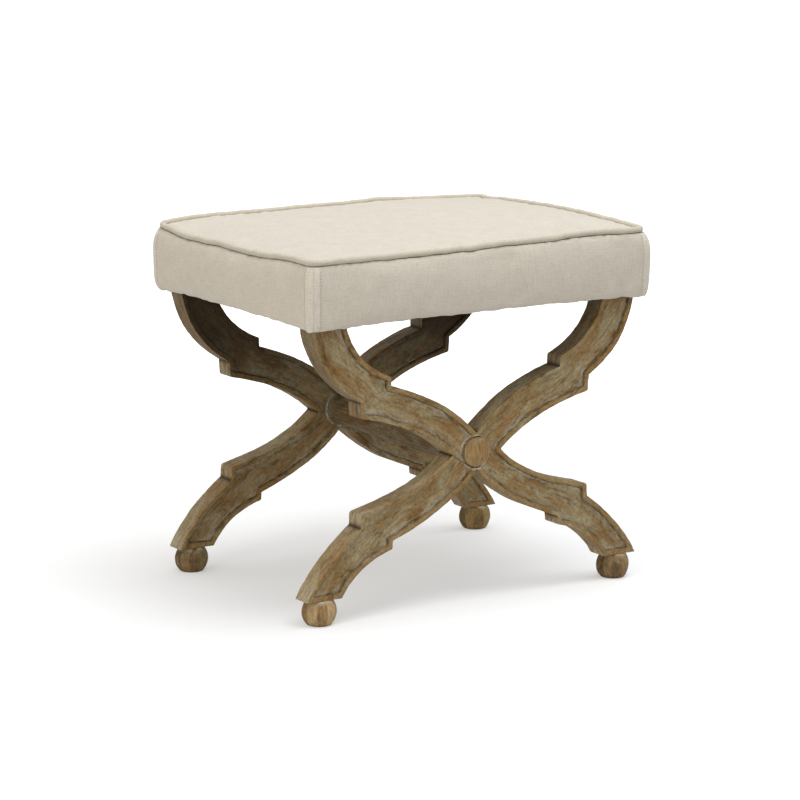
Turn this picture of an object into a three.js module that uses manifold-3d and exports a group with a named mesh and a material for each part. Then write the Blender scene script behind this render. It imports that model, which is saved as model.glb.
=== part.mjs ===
// An X frame stool: two carved trestles, a round stretcher and a boxed upholstered seat.
// Millimetres, +Z up, +X along the seat, -Y to the front. The origin is on the floor, in the middle.

import * as THREE from 'three';
import { mergeVertices } from 'three/addons/utils/BufferGeometryUtils.js';
import Module from 'manifold-3d';

const wasm = await Module();
wasm.setup();

// Clearance, and how far a cutter runs past the face that it opens
const fit = 0.3;
const overrun = 2;

// Seat
const seatLength = 566;
const seatDepth = 434;
const seatCornerRadius = 7;
const topCornerRadius = 24;
const railHeight = 45;
const railWidth = 50;
const railInset = 7;
const deckThickness = 10;
const deckMargin = 1;
const foamThickness = 33;
const foamInset = 12;
const blockLeg = 56;

// Upholstery
const clothThickness = 1.4;
const dustCoverThickness = 0.8;
const sideSwell = 9;
const weltTuck = 2;
const sideWaist = 5.2;
const cornerDrop = 1.5;
const hemDroop = 3.8;
const crownHeight = 8;
const waddingGap = 5;
const weltRadius = 4.5;
const weltLean = 0.45;
const weltBedShare = 0.8;

// Trestles
const legTopHeight = 426;
const legThickness = 34;
const trestleInset = 17.4;
const legTopInset = 9;
const lipWidth = 8;
const fieldDepth = 3;

// Ball feet
const footDiameter = 50.8;
const footFlatRadius = 17;
const footHeightShare = 0.72;
const footDowelRadius = 5;
const footDowelDepthShare = 0.45;
const footDowelReach = 30;

// Stretcher, roundels and the coach screws behind them
const stretcherRadius = 23.5;
const tenonRadius = 12;
const tenonLengthShare = 0.35;
const roundelRadius = 21.5;
const roundelReveal = 1.6;
const roundelProud = 1.8;
const roundelDome = 1.4;
const spigotLength = 1.5;
const coachRadius = 4;
const coachReach = 55;
const coachHeadRadius = 7.5;
const coachHeadHeight = 5.3;
const counterboreFits = 3;
const washerRadius = 10;
const washerThickness = 1.6;

// Wood screws and rail dowels
const screwRadius = 2.5;
const screwHeadRadius = 5;
const screwHeadHeight = 3;
const screwPointLength = 6;
const legScrewReach = 36;
const legScrewSink = 12;
const legScrewSpreadShare = 0.46;
const deckScrewReach = 28;
const railDowelRadius = 4;
const railDowelLength = 40;
const railDowelSpreadShare = 0.44;

// Facets
const boreSides = 12;
const screwSides = 8;
const turnedSides = 30;
const ballSides = 24;
const ballRings = 9;
const curveSteps = 6;
const domeSteps = 3;
const hexSides = 6;

// Places that follow from the sizes above
const trestleCentre = seatDepth / 2 - trestleInset - legThickness / 2;
const halfSpan = seatLength / 2 - legTopInset;
const footRadius = footDiameter / 2;
const footHeight = footDiameter * footHeightShare;
const legBottom = footHeight + fit;
const trestleHeight = legTopHeight - legBottom;
const railBottom = legTopHeight + fit;
const railTop = railBottom + railHeight;
const railHalfLength = seatLength / 2 - railInset;
const railHalfDepth = seatDepth / 2 - railInset;
const deckBottom = railTop + fit;
const deckTop = deckBottom + deckThickness;
const foamBottom = deckTop + fit;
const seamHeight = foamBottom + foamThickness;
const tenonLength = legThickness * tenonLengthShare;

// Materials
function finish(color, roughness, metalness = 0) {
  return new THREE.MeshStandardMaterial({ color, roughness, metalness });
}
const limedOak = finish('#8a7454', 0.72);
const turnedOak = finish('#9a7348', 0.62);
const pine = finish('#cfae7c', 0.7);
const plywood = finish('#c9a878', 0.7);
const steel = finish('#8f9296', 0.35, 1);
const foam = finish('#e9e2c4', 0.95);
const polyester = finish('#f2f1ec', 0.97);
const linen = finish('#d6cebd', 0.93);
const cambric = finish('#26241f', 0.95);

// Joining and cutting solids
function solidOf(geometry) {
  const bare = geometry.clone();
  bare.deleteAttribute('normal');
  bare.deleteAttribute('uv');
  const merged = mergeVertices(bare);
  return new wasm.Manifold(new wasm.Mesh({
    numProp: 3,
    vertProperties: Float32Array.from(merged.attributes.position.array),
    triVerts: Uint32Array.from(merged.index.array),
  }));
}

function geometryOf(solid) {
  const mesh = solid.getMesh();
  const geometry = new THREE.BufferGeometry();
  geometry.setAttribute('position', new THREE.BufferAttribute(Float32Array.from(mesh.vertProperties), 3));
  geometry.setIndex(Array.from(mesh.triVerts));
  geometry.computeVertexNormals();
  return geometry;
}

function cut(geometry, tools) {
  const solid = tools.reduce((left, tool) => left.subtract(solidOf(tool)), solidOf(geometry));
  return geometryOf(solid);
}

function join(geometries) {
  const [first, ...others] = geometries.map(solidOf);
  return geometryOf(others.reduce((whole, part) => whole.add(part), first));
}

// A round bar between two points
function bar(radius, start, end, sides = boreSides) {
  const along = end.clone().sub(start);
  const geometry = new THREE.CylinderGeometry(radius, radius, along.length(), sides);
  const turn = new THREE.Quaternion().setFromUnitVectors(new THREE.Vector3(0, 1, 0), along.normalize());
  geometry.applyQuaternion(turn);
  const middle = start.clone().add(end).multiplyScalar(0.5);
  return geometry.translate(middle.x, middle.y, middle.z);
}

// A box between two opposite corners
function block(low, high) {
  const size = high.clone().sub(low);
  const middle = low.clone().add(high).multiplyScalar(0.5);
  return new THREE.BoxGeometry(size.x, size.y, size.z).translate(middle.x, middle.y, middle.z);
}

const at = (x, y, z) => new THREE.Vector3(x, y, z);

// An upright plate: a flat outline in X and Z, given a thickness from one Y to another
function plate(shape, front, back) {
  const geometry = new THREE.ExtrudeGeometry(shape, {
    depth: back - front,
    bevelEnabled: false,
    curveSegments: curveSteps,
  });
  return geometry.rotateX(Math.PI / 2).translate(0, back, 0);
}

function named(name, geometry, material) {
  const mesh = new THREE.Mesh(geometry, material);
  mesh.name = name;
  return mesh;
}

// Leg outline. Corners on the right-hand side: x as a share of the half span and z as a share of the
// trestle's height. Every arm has a step in its outer edge and one in its inner edge.
const cornerShares = {
  topOuter: [1, 1],
  upperStepOuterRoot: [0.7095, 0.7055],
  upperStepOuterTip: [0.7036, 0.6454],
  topInner: [0.7938, 1],
  upperStepInnerTip: [0.5237, 0.786],
  upperStepInnerRoot: [0.523, 0.7487],
  topCrotch: [0, 0.5426],
  sideCrotch: [0.1522, 0.469],
  bottomCrotch: [0, 0.4052],
  lowerStepOuterTip: [0.7033, 0.2939],
  lowerStepOuterRoot: [0.7077, 0.2451],
  toeOuter: [1.0281, 0],
  toeInner: [0.8182, 0],
  lowerStepInnerTip: [0.5175, 0.1519],
  lowerStepInnerRoot: [0.5146, 0.1832],
};

// Curved edges between two of those corners: how far the curve stands off its chord, to the left
// of the way from the first corner to the second, and where it leans, as shares of the chord
const edgeShares = {
  upperOuterEnd: ['topOuter', 'upperStepOuterRoot', 0.122, 0.5],
  upperOuterArm: ['upperStepOuterTip', 'sideCrotch', -0.066, 0.58],
  upperInnerEnd: ['topInner', 'upperStepInnerTip', 0.133, 0.45],
  upperInnerArm: ['upperStepInnerRoot', 'topCrotch', -0.07, 0.5],
  lowerOuterArm: ['sideCrotch', 'lowerStepOuterTip', -0.072, 0.34],
  lowerOuterEnd: ['lowerStepOuterRoot', 'toeOuter', 0.056, 0.58],
  lowerInnerArm: ['bottomCrotch', 'lowerStepInnerRoot', -0.067, 0.36],
  lowerInnerEnd: ['lowerStepInnerTip', 'toeInner', 0.108, 0.54],
};

const crossingHeight = legBottom + trestleHeight * cornerShares.sideCrotch[1];
const toeCentre = halfSpan * (cornerShares.toeOuter[0] + cornerShares.toeInner[0]) / 2;
const legTopCentre = halfSpan * (cornerShares.topOuter[0] + cornerShares.topInner[0]) / 2;
const legTopWidth = halfSpan * (cornerShares.topOuter[0] - cornerShares.topInner[0]);

function corner(name, side) {
  const [x, z] = cornerShares[name];
  return new THREE.Vector2(side * x * halfSpan, legBottom + z * trestleHeight);
}

// The control point of an edge, worked out on the right-hand side and mirrored for the left
function edgeControl(name, side) {
  const [from, to, standOff, lean] = edgeShares[name];
  const start = corner(from, 1);
  const chord = corner(to, 1).sub(start);
  const left = new THREE.Vector2(-chord.y, chord.x);
  const control = start.addScaledVector(chord, lean).addScaledVector(left, 2 * standOff);
  return new THREE.Vector2(side * control.x, control.y);
}

// An outline from steps of [edge or null for a straight line, corner reached, side]
function outline(steps) {
  const shape = new THREE.Shape();
  const [, firstName, firstSide] = steps[0];
  const first = corner(firstName, firstSide);
  shape.moveTo(first.x, first.y);
  for (const [edge, name, side] of steps.slice(1)) {
    const end = corner(name, side);
    if (edge) {
      const control = edgeControl(edge, side || 1);
      shape.quadraticCurveTo(control.x, control.y, end.x, end.y);
    } else {
      shape.lineTo(end.x, end.y);
    }
  }
  shape.closePath();
  return shape;
}

// The edges of one arm, from its end inwards
const innerUpper = (side) => [
  [null, 'topInner', side],
  ['upperInnerEnd', 'upperStepInnerTip', side],
  [null, 'upperStepInnerRoot', side],
];
const outerUpper = (side) => [
  [null, 'topOuter', side],
  ['upperOuterEnd', 'upperStepOuterRoot', side],
  [null, 'upperStepOuterTip', side],
  ['upperOuterArm', 'sideCrotch', side],
];
const outerLower = (side) => [
  ['lowerOuterArm', 'lowerStepOuterTip', side],
  [null, 'lowerStepOuterRoot', side],
  ['lowerOuterEnd', 'toeOuter', side],
  [null, 'toeInner', side],
];

// The same edges walked the other way need each edge named by the corner that it reaches
const innerUpperBack = (side) => [
  [null, 'upperStepInnerTip', side],
  ['upperInnerEnd', 'topInner', side],
];
const innerLower = (side) => [
  ['lowerInnerEnd', 'lowerStepInnerTip', side],
  [null, 'lowerStepInnerRoot', side],
];

// A leg that rises from the left foot to the right of the seat, or with side -1 its mirror image
function legOutline(side) {
  return outline([
    ...innerUpper(side),
    ['upperInnerArm', 'topCrotch', side],
    [null, 'sideCrotch', -side],
    ...outerLower(-side),
    ...innerLower(-side),
    ['lowerInnerArm', 'bottomCrotch', -side],
    [null, 'sideCrotch', side],
    ['upperOuterArm', 'upperStepOuterTip', side],
    [null, 'upperStepOuterRoot', side],
    ['upperOuterEnd', 'topOuter', side],
  ]);
}

// The outline of both legs together, which the carved field follows
function trestleOutline() {
  return outline([
    ...innerUpper(1),
    ['upperInnerArm', 'topCrotch', 1],
    ['upperInnerArm', 'upperStepInnerRoot', -1],
    ...innerUpperBack(-1),
    ...outerUpper(-1),
    ...outerLower(-1),
    ...innerLower(-1),
    ['lowerInnerArm', 'bottomCrotch', -1],
    ['lowerInnerArm', 'lowerStepInnerRoot', 1],
    [null, 'lowerStepInnerTip', 1],
    ['lowerInnerEnd', 'toeInner', 1],
    [null, 'toeOuter', 1],
    ['lowerOuterEnd', 'lowerStepOuterRoot', 1],
    [null, 'lowerStepOuterTip', 1],
    ['lowerOuterArm', 'sideCrotch', 1],
    ['upperOuterArm', 'upperStepOuterTip', 1],
    [null, 'upperStepOuterRoot', 1],
    ['upperOuterEnd', 'topOuter', 1],
  ]);
}

// Two sides whose ways differ by less than this sine run straight on
const parallel = 1e-4;

// A closed outline moved inwards, each side by its own distance: where two moved sides cross is a corner
function insetOutline(points, distanceOf) {
  const inwards = THREE.ShapeUtils.isClockWise(points) ? -1 : 1;
  const sides = points.map((start, i) => {
    const end = points[(i + 1) % points.length];
    const way = end.clone().sub(start).normalize();
    const normal = new THREE.Vector2(-way.y, way.x).multiplyScalar(inwards);
    return { normal, move: distanceOf(start, end) };
  });
  return points.map((point, i) => {
    const before = sides[(i + points.length - 1) % points.length];
    const after = sides[i];
    const cross = before.normal.cross(after.normal);
    if (Math.abs(cross) < parallel) {
      return point.clone().addScaledVector(after.normal, after.move);
    }
    const x = (before.move * after.normal.y - after.move * before.normal.y) / cross;
    const y = (after.move * before.normal.x - before.move * after.normal.x) / cross;
    return new THREE.Vector2(point.x + x, point.y + y);
  });
}

// The carved field stops short of every edge by the lip, and runs out through the leg tops
function fieldShape() {
  const points = trestleOutline().extractPoints(curveSteps).shape;
  const isTop = (start, end) => Math.min(start.y, end.y) > legTopHeight - fit;
  return new THREE.Shape(insetOutline(points, (start, end) => (isTop(start, end) ? -overrun : lipWidth)));
}

// The half-lap: the diamond between the four crotches
function lapShape() {
  const points = [['topCrotch', 1], ['sideCrotch', 1], ['bottomCrotch', 1], ['sideCrotch', -1]];
  return new THREE.Shape(insetOutline(points.map(([name, side]) => corner(name, side)), () => -fit));
}

// One trestle about its own middle plane, with its outer face to the front
const outerFace = -legThickness / 2;
const innerFace = legThickness / 2;
const outerField = outerFace + fieldDepth;
const innerField = innerFace - fieldDepth;
const counterboreDepth = washerThickness + coachHeadHeight + spigotLength + counterboreFits * fit;
const washerSeat = outerField + counterboreDepth;
const tenonEnd = innerField - tenonLength;
const crossing = (y) => at(0, y, crossingHeight);

function crossingBores() {
  return [
    bar(roundelRadius + roundelReveal, crossing(outerFace - overrun), crossing(outerField), turnedSides),
    bar(washerRadius + fit, crossing(outerFace - overrun), crossing(washerSeat)),
    bar(coachRadius + fit, crossing(outerFace - overrun), crossing(innerFace + overrun)),
    bar(stretcherRadius + fit, crossing(innerField), crossing(innerFace + overrun), turnedSides),
    bar(tenonRadius + fit, crossing(tenonEnd - fit), crossing(innerFace + overrun)),
  ];
}

function legScrewPlaces(side) {
  const spread = legTopWidth * legScrewSpreadShare / 2;
  return [-spread, spread].map((shift) => side * legTopCentre + shift);
}

function leg(side, lapIsOuter) {
  const field = fieldShape();
  const toe = -side * toeCentre;
  const lapFrom = lapIsOuter ? -fit / 2 : outerFace - overrun;
  const lapTo = lapIsOuter ? innerFace + overrun : fit / 2;
  const screwEnd = legTopHeight - legScrewReach - fit;
  const dowelEnd = legBottom + footDowelReach + fit;
  return cut(plate(legOutline(side), outerFace, innerFace), [
    plate(field, outerFace - overrun, outerField),
    plate(field, innerField, innerFace + overrun),
    plate(lapShape(), lapFrom, lapTo),
    ...crossingBores(),
    bar(footDowelRadius + fit, at(toe, 0, legBottom - overrun), at(toe, 0, dowelEnd)),
    ...legScrewPlaces(side).map((x) => (
      bar(screwRadius + fit, at(x, 0, screwEnd), at(x, 0, legTopHeight + overrun), screwSides)
    )),
  ]);
}

// Ball foot: a turned ball cut off flat where it stands and where it meets the leg
function ballFoot() {
  const centre = Math.sqrt(footRadius ** 2 - footFlatRadius ** 2);
  const lowAngle = -Math.acos(footFlatRadius / footRadius);
  const highAngle = Math.asin((footHeight - centre) / footRadius);
  const profile = [new THREE.Vector2(0, 0)];
  for (let i = 0; i <= ballRings; i += 1) {
    const angle = THREE.MathUtils.lerp(lowAngle, highAngle, i / ballRings);
    const height = i === 0 ? 0 : centre + footRadius * Math.sin(angle);
    profile.push(new THREE.Vector2(footRadius * Math.cos(angle), height));
  }
  profile.push(new THREE.Vector2(0, footHeight));
  return new THREE.LatheGeometry(profile, ballSides).rotateX(Math.PI / 2);
}

function foot() {
  const hole = bar(
    footDowelRadius + fit,
    at(0, 0, footHeight - footDiameter * footDowelDepthShare - fit),
    at(0, 0, footHeight + overrun),
  );
  return cut(ballFoot(), [hole]);
}

// Roundel: a domed disc with a spigot that plugs the counterbore
function roundel() {
  const rimHeight = fieldDepth + roundelProud - roundelDome - fit;
  const spigotRadius = washerRadius - fit;
  const profile = [
    new THREE.Vector2(0, -spigotLength),
    new THREE.Vector2(spigotRadius, -spigotLength),
    new THREE.Vector2(spigotRadius, 0),
    new THREE.Vector2(roundelRadius, 0),
  ];
  for (let i = 0; i < domeSteps; i += 1) {
    const share = i / domeSteps;
    profile.push(new THREE.Vector2(roundelRadius * (1 - share ** 2), rimHeight + roundelDome * share));
  }
  profile.push(new THREE.Vector2(0, rimHeight + roundelDome));
  const turned = new THREE.LatheGeometry(profile, turnedSides).rotateX(Math.PI);
  return turned.translate(0, outerField - fit, crossingHeight);
}

function coachScrew() {
  const headTop = washerSeat - washerThickness - 2 * fit - coachHeadHeight;
  const headSeat = headTop + coachHeadHeight;
  return join([
    bar(coachHeadRadius, crossing(headTop), crossing(headSeat), hexSides),
    bar(coachRadius, crossing(headSeat - fit), crossing(innerField + coachReach), boreSides),
  ]);
}

function washer() {
  const seat = washerSeat - fit;
  const disc = bar(washerRadius - fit, crossing(seat - washerThickness), crossing(seat));
  const hole = bar(coachRadius + fit, crossing(seat - washerThickness - overrun), crossing(seat + overrun));
  return cut(disc, [hole]);
}

// The rear trestle is the front one turned half round, so its left and right change places
const endNames = { 1: 'right', '-1': 'left' };

function trestle(name, turn) {
  const group = new THREE.Group();
  group.rotation.z = turn > 0 ? Math.PI : 0;
  group.position.y = turn * trestleCentre;
  for (const side of [-1, 1]) {
    const end = endNames[-side * -turn];
    group.add(named(`leg_${name}_from_${end}_foot`, leg(side, side < 0), limedOak));
    const ball = named(`foot_${name}_${end}`, foot(), turnedOak);
    ball.position.x = -side * toeCentre;
    group.add(ball);
    const dowelLow = footHeight - footDiameter * footDowelDepthShare;
    const dowelHigh = legBottom + footDowelReach;
    const dowel = bar(footDowelRadius, at(0, 0, dowelLow), at(0, 0, dowelHigh), boreSides);
    const dowelMesh = named(`foot_dowel_${name}_${end}`, dowel, pine);
    dowelMesh.position.x = -side * toeCentre;
    group.add(dowelMesh);
  }
  group.add(named(`roundel_${name}`, roundel(), turnedOak));
  group.add(named(`coach_screw_${name}`, coachScrew(), steel));
  group.add(named(`washer_${name}`, washer(), steel));
  return group;
}

function stretcher() {
  const shoulder = trestleCentre - innerField - fit;
  const tenonTip = trestleCentre - tenonEnd - fit;
  const body = bar(stretcherRadius, crossing(-shoulder), crossing(shoulder), turnedSides);
  const tenons = bar(tenonRadius, crossing(-tenonTip), crossing(tenonTip));
  const boreEnd = trestleCentre - innerField - coachReach - fit;
  return cut(join([body, tenons]), [-1, 1].map((side) => (
    bar(coachRadius + fit, crossing(side * boreEnd), crossing(side * (tenonTip + overrun)))
  )));
}

// A wood screw that points down, with its head's top at the origin
function woodScrew(length) {
  const profile = [
    new THREE.Vector2(0, -length),
    new THREE.Vector2(screwRadius, screwPointLength - length),
    new THREE.Vector2(screwRadius, -screwHeadHeight),
    new THREE.Vector2(screwHeadRadius, 0),
    new THREE.Vector2(0, 0),
  ];
  return new THREE.LatheGeometry(profile, screwSides).rotateX(Math.PI / 2);
}

// Seat frame. A long rail covers the leg tops, and a short rail butts between the two long ones.
// The dowels of that joint pass midway between the two screws of the leg top.
const shortRailEnd = railHalfDepth - railWidth - fit;
const railMiddle = (railBottom + railTop) / 2;

function railDowelHeights() {
  const spread = railHeight * railDowelSpreadShare / 2;
  return [railMiddle - spread, railMiddle + spread];
}

function railDowel(side, face, height, grow) {
  const x = side * legTopCentre;
  const half = railDowelLength / 2 + grow;
  const middle = face * (shortRailEnd + fit / 2);
  return bar(railDowelRadius + grow, at(x, middle - half, height), at(x, middle + half, height), boreSides);
}

function longRail(face) {
  const beam = block(
    at(-railHalfLength, face < 0 ? -railHalfDepth : railHalfDepth - railWidth, railBottom),
    at(railHalfLength, face < 0 ? railWidth - railHalfDepth : railHalfDepth, railTop),
  );
  const y = face * trestleCentre;
  const tools = [];
  for (const side of [-1, 1]) {
    for (const x of legScrewPlaces(side)) {
      tools.push(bar(screwRadius + fit, at(x, y, railBottom - overrun),
        at(x, y, railTop + overrun), screwSides));
      tools.push(bar(screwHeadRadius + fit, at(x, y, railTop - legScrewSink - screwHeadHeight - fit),
        at(x, y, railTop + overrun), boreSides));
    }
    tools.push(...railDowelHeights().map((height) => railDowel(side, face, height, fit)));
  }
  return cut(beam, tools);
}

function shortRail(side) {
  const inner = railHalfLength - railWidth;
  const beam = block(
    at(side < 0 ? -railHalfLength : inner, -shortRailEnd, railBottom),
    at(side < 0 ? -inner : railHalfLength, shortRailEnd, railTop),
  );
  const tools = [-1, 1].flatMap((face) => (
    railDowelHeights().map((height) => railDowel(side, face, height, fit))
  ));
  return cut(beam, tools);
}

// Corner block: a right-angled prism glued in each inner corner of the seat frame
const blockCornerX = railHalfLength - railWidth - fit;
const blockCornerY = railHalfDepth - railWidth - fit;
const blockScrewX = blockCornerX - blockLeg / 3;
const blockScrewY = blockCornerY - blockLeg / 3;

function cornerBlock(side, face) {
  const shape = new THREE.Shape([
    new THREE.Vector2(side * blockCornerX, face * blockCornerY),
    new THREE.Vector2(side * (blockCornerX - blockLeg), face * blockCornerY),
    new THREE.Vector2(side * blockCornerX, face * (blockCornerY - blockLeg)),
  ]);
  const prism = new THREE.ExtrudeGeometry(shape, { depth: railHeight, bevelEnabled: false });
  prism.translate(0, 0, railBottom);
  const x = side * blockScrewX;
  const y = face * blockScrewY;
  const holeEnd = railTop - deckScrewReach - fit;
  return cut(prism, [
    bar(screwRadius + fit, at(x, y, holeEnd), at(x, y, railTop + overrun), screwSides),
  ]);
}

function deckBoard() {
  const halfLength = railHalfLength - deckMargin;
  const halfDepth = railHalfDepth - deckMargin;
  const board = block(at(-halfLength, -halfDepth, deckBottom), at(halfLength, halfDepth, deckTop));
  const tools = [];
  for (const side of [-1, 1]) {
    for (const face of [-1, 1]) {
      const x = side * blockScrewX;
      const y = face * blockScrewY;
      tools.push(bar(screwRadius + fit, at(x, y, deckBottom - overrun),
        at(x, y, deckTop + overrun), screwSides));
      tools.push(bar(screwHeadRadius + fit, at(x, y, deckTop - screwHeadHeight - fit),
        at(x, y, deckTop + overrun), boreSides));
    }
  }
  return cut(board, tools);
}

// Upholstery. A ring of places round the seat starts and ends in the middle of a corner: each has its
// way outwards and its share towards a corner, 0 in the middle of a side and 1 at a corner. Its low
// place is on the seat's outline, and its high one is where the top panel's rounder corners have it.
const cornerSteps = 2;
const sideSteps = 6;
const panelSteps = 2 * cornerSteps + sideSteps;

function seatRing(inset, radius) {
  const topRadius = radius + topCornerRadius - seatCornerRadius;
  const halfLength = seatLength / 2 - inset;
  const halfDepth = seatDepth / 2 - inset;
  const places = [];
  for (let quarter = 0; quarter < 4; quarter += 1) {
    const outwards = -Math.PI / 2 + quarter * Math.PI / 2;
    const alongIsX = quarter % 2 === 0;
    const along = alongIsX ? halfLength : halfDepth;
    const across = alongIsX ? halfDepth : halfLength;
    for (let step = 0; step < panelSteps; step += 1) {
      const onSide = THREE.MathUtils.clamp((step - cornerSteps) / sideSteps, 0, 1);
      const late = Math.max(step - cornerSteps - sideSteps, 0);
      const turn = (late - Math.max(cornerSteps - step, 0)) / cornerSteps * Math.PI / 4;
      const angle = outwards + turn;
      const out = new THREE.Vector2(Math.cos(angle), Math.sin(angle));
      const [low, high] = [radius, topRadius].map((rounding) => (
        new THREE.Vector2(across - rounding, (2 * onSide - 1) * (along - rounding))
          .rotateAround(new THREE.Vector2(), outwards).addScaledVector(out, rounding)
      ));
      places.push({ x: low.x, y: low.y, low, high, out, corner: (2 * onSide - 1) ** 4 });
    }
  }
  return places;
}

const hemHeight = (place) => railBottom - fit - clothThickness - hemDroop * place.corner;
const seamHeightAt = (place) => seamHeight - cornerDrop * place.corner;
const waist = (place) => sideWaist * (1 - place.corner);

// A point of the seat's side: how far up it is, as a share, and how far inside the cloth's face
function sidePoint(place, share, depth) {
  const swell = sideSwell * Math.sin(Math.PI * share ** 0.8);
  const out = swell - (weltTuck + waist(place)) * share - depth;
  const z = THREE.MathUtils.lerp(hemHeight(place), seamHeightAt(place), share);
  const base = place.low.clone().lerp(place.high, share ** 2).addScaledVector(place.out, out);
  return at(base.x, base.y, z);
}

// A closed sheet with two faces, each a list of columns of points
function sheet(face, back) {
  const columns = face.length;
  const rows = face[0].length;
  const points = [...face.flat(), ...back.flat()];
  const offset = columns * rows;
  const index = [];
  const quad = (a, b, c, d) => index.push(a, b, c, a, c, d);
  const front = (i, j) => i * rows + j;
  const rear = (i, j) => offset + i * rows + j;
  for (let i = 0; i + 1 < columns; i += 1) {
    for (let j = 0; j + 1 < rows; j += 1) {
      quad(front(i, j), front(i + 1, j), front(i + 1, j + 1), front(i, j + 1));
      quad(rear(i, j), rear(i, j + 1), rear(i + 1, j + 1), rear(i + 1, j));
    }
    quad(front(i, 0), rear(i, 0), rear(i + 1, 0), front(i + 1, 0));
    quad(front(i, rows - 1), front(i + 1, rows - 1), rear(i + 1, rows - 1), rear(i, rows - 1));
  }
  const last = columns - 1;
  for (let j = 0; j + 1 < rows; j += 1) {
    quad(front(0, j), front(0, j + 1), rear(0, j + 1), rear(0, j));
    quad(front(last, j), rear(last, j), rear(last, j + 1), front(last, j + 1));
  }
  return surface(points, index);
}

// A closed body from rings of points: the first and last ring may each be a single point,
// or the last ring meets the first. Each facet is split from its lower ring up to the next place of
// its upper ring, so two bodies that follow the same rings keep their distance.
function loft(rings, closed = false) {
  const points = rings.flat();
  const starts = [];
  rings.reduce((count, ring) => {
    starts.push(count);
    return count + ring.length;
  }, 0);
  const height = (ring) => ring.reduce((sum, point) => sum + point.z, 0) / ring.length;
  const index = [];
  const place = (ring, i) => starts[ring] + (i % rings[ring].length);
  const face = (a, b, c) => {
    if (a !== b && b !== c && c !== a) index.push(a, b, c);
  };
  const count = closed ? rings.length : rings.length - 1;
  for (let low = 0; low < count; low += 1) {
    const high = (low + 1) % rings.length;
    const falls = height(rings[high]) < height(rings[low]);
    const size = Math.max(rings[low].length, rings[high].length);
    for (let i = 0; i < size; i += 1) {
      const [a, b] = [place(low, i), place(low, i + 1)];
      const [c, d] = [place(high, i + 1), place(high, i)];
      face(a, b, falls && a !== b && c !== d ? d : c);
      face(falls && a !== b && c !== d ? b : a, c, d);
    }
  }
  return surface(points, index);
}

// A geometry whose faces point outwards
function surface(points, index) {
  let volume = 0;
  for (let i = 0; i < index.length; i += 3) {
    const [a, b, c] = [points[index[i]], points[index[i + 1]], points[index[i + 2]]];
    volume += a.dot(b.clone().cross(c));
  }
  const geometry = new THREE.BufferGeometry();
  geometry.setFromPoints(points);
  geometry.setIndex(volume < 0 ? index.slice().reverse() : index);
  geometry.computeVertexNormals();
  return geometry;
}

// Heights of the rows up a side, and shares from the middle of the top to its edge
const sideShares = [0, 0.12, 0.28, 0.45, 0.62, 0.8, 0.92, 1];
const topShares = [0.3, 0.58, 0.8, 0.93, 1];

// Boxing panel: one side of the seat from corner seam to corner seam, turned under at the hem
const turnUnder = railInset - 3 * fit;

function boxingPanel(quarter) {
  const ring = seatRing(0, seatCornerRadius);
  const places = [];
  for (let step = 0; step <= panelSteps; step += 1) {
    places.push(ring[(quarter * panelSteps + step) % ring.length]);
  }
  const outer = places.map((place) => [
    sidePoint(place, 0, turnUnder),
    ...sideShares.map((share) => sidePoint(place, share, 0)),
  ]);
  const inner = places.map((place) => {
    const column = [
      sidePoint(place, 0, turnUnder),
      ...sideShares.map((share) => sidePoint(place, share, clothThickness)),
    ];
    column[0].z += clothThickness;
    column[1].z += clothThickness;
    return column;
  });
  return openSeams(outer, inner);
}

// The two end columns of a panel step back from the seam by half a clearance each
function openSeams(outer, inner) {
  const pull = (columns, end, next) => columns[end].forEach((point, row) => {
    const way = columns[next][row].clone().sub(point).setZ(0);
    point.addScaledVector(way.normalize(), fit);
  });
  for (const columns of [outer, inner]) {
    pull(columns, 0, 1);
    pull(columns, columns.length - 1, columns.length - 2);
  }
  return sheet(outer, inner);
}

// Welt: a round cord in its own cloth, laid along the top edge of the boxing
const weltDrop = (weltRadius + fit) * Math.cos(weltLean);
const weltStep = (weltRadius + fit) * Math.sin(weltLean);
const weltSides = 8;

function weltCentre(place) {
  const seam = sidePoint(place, 1, clothThickness + weltStep);
  return seam.setZ(seam.z + weltDrop);
}

function welt() {
  const rings = seatRing(0, seatCornerRadius).map((place) => {
    const centre = weltCentre(place);
    return Array.from({ length: weltSides }, (unused, i) => {
      const angle = 2 * Math.PI * i / weltSides;
      const out = weltRadius * Math.cos(angle);
      return at(centre.x + place.out.x * out, centre.y + place.out.y * out,
        centre.z + weltRadius * Math.sin(angle));
    });
  });
  return loft(rings, true);
}

// Crowned face over the seat, a ring of points for each share from the middle to the edge
function crownRing(share, depth, edgeInset) {
  return seatRing(0, seatCornerRadius).map((place) => {
    const rim = weltCentre(place);
    const inset = weltRadius + fit + edgeInset;
    const x = (rim.x - place.out.x * inset) * share;
    const y = (rim.y - place.out.y * inset) * share;
    const rise = crownHeight * (1 - share ** 4);
    const rimHeight = THREE.MathUtils.lerp(seamHeight + weltDrop, rim.z, share ** 4);
    return at(x, y, rimHeight + rise - depth);
  });
}

const crownTop = (depth) => [at(0, 0, seamHeight + weltDrop + crownHeight - depth)];

function coverTop() {
  const upper = topShares.map((share) => crownRing(share, -clothThickness / 2, 0));
  const lower = topShares.map((share) => crownRing(share, clothThickness / 2, 0)).reverse();
  return loft([crownTop(-clothThickness / 2), ...upper, ...lower, crownTop(clothThickness / 2)]);
}

// Foam pad: flat where it rests on the deck, and crowned on top
const foamDepth = clothThickness / 2 + waddingGap + 2 * fit;

function foamTopRing(share) {
  return crownRing(share, foamDepth, foamInset - weltTuck - weltRadius);
}

function foamPad() {
  const top = topShares.map(foamTopRing);
  const foot = seatRing(foamInset, seatCornerRadius - fit).map((place) => at(place.x, place.y, foamBottom));
  return loft([crownTop(foamDepth), ...top, foot, [at(0, 0, foamBottom)]]);
}

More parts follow.
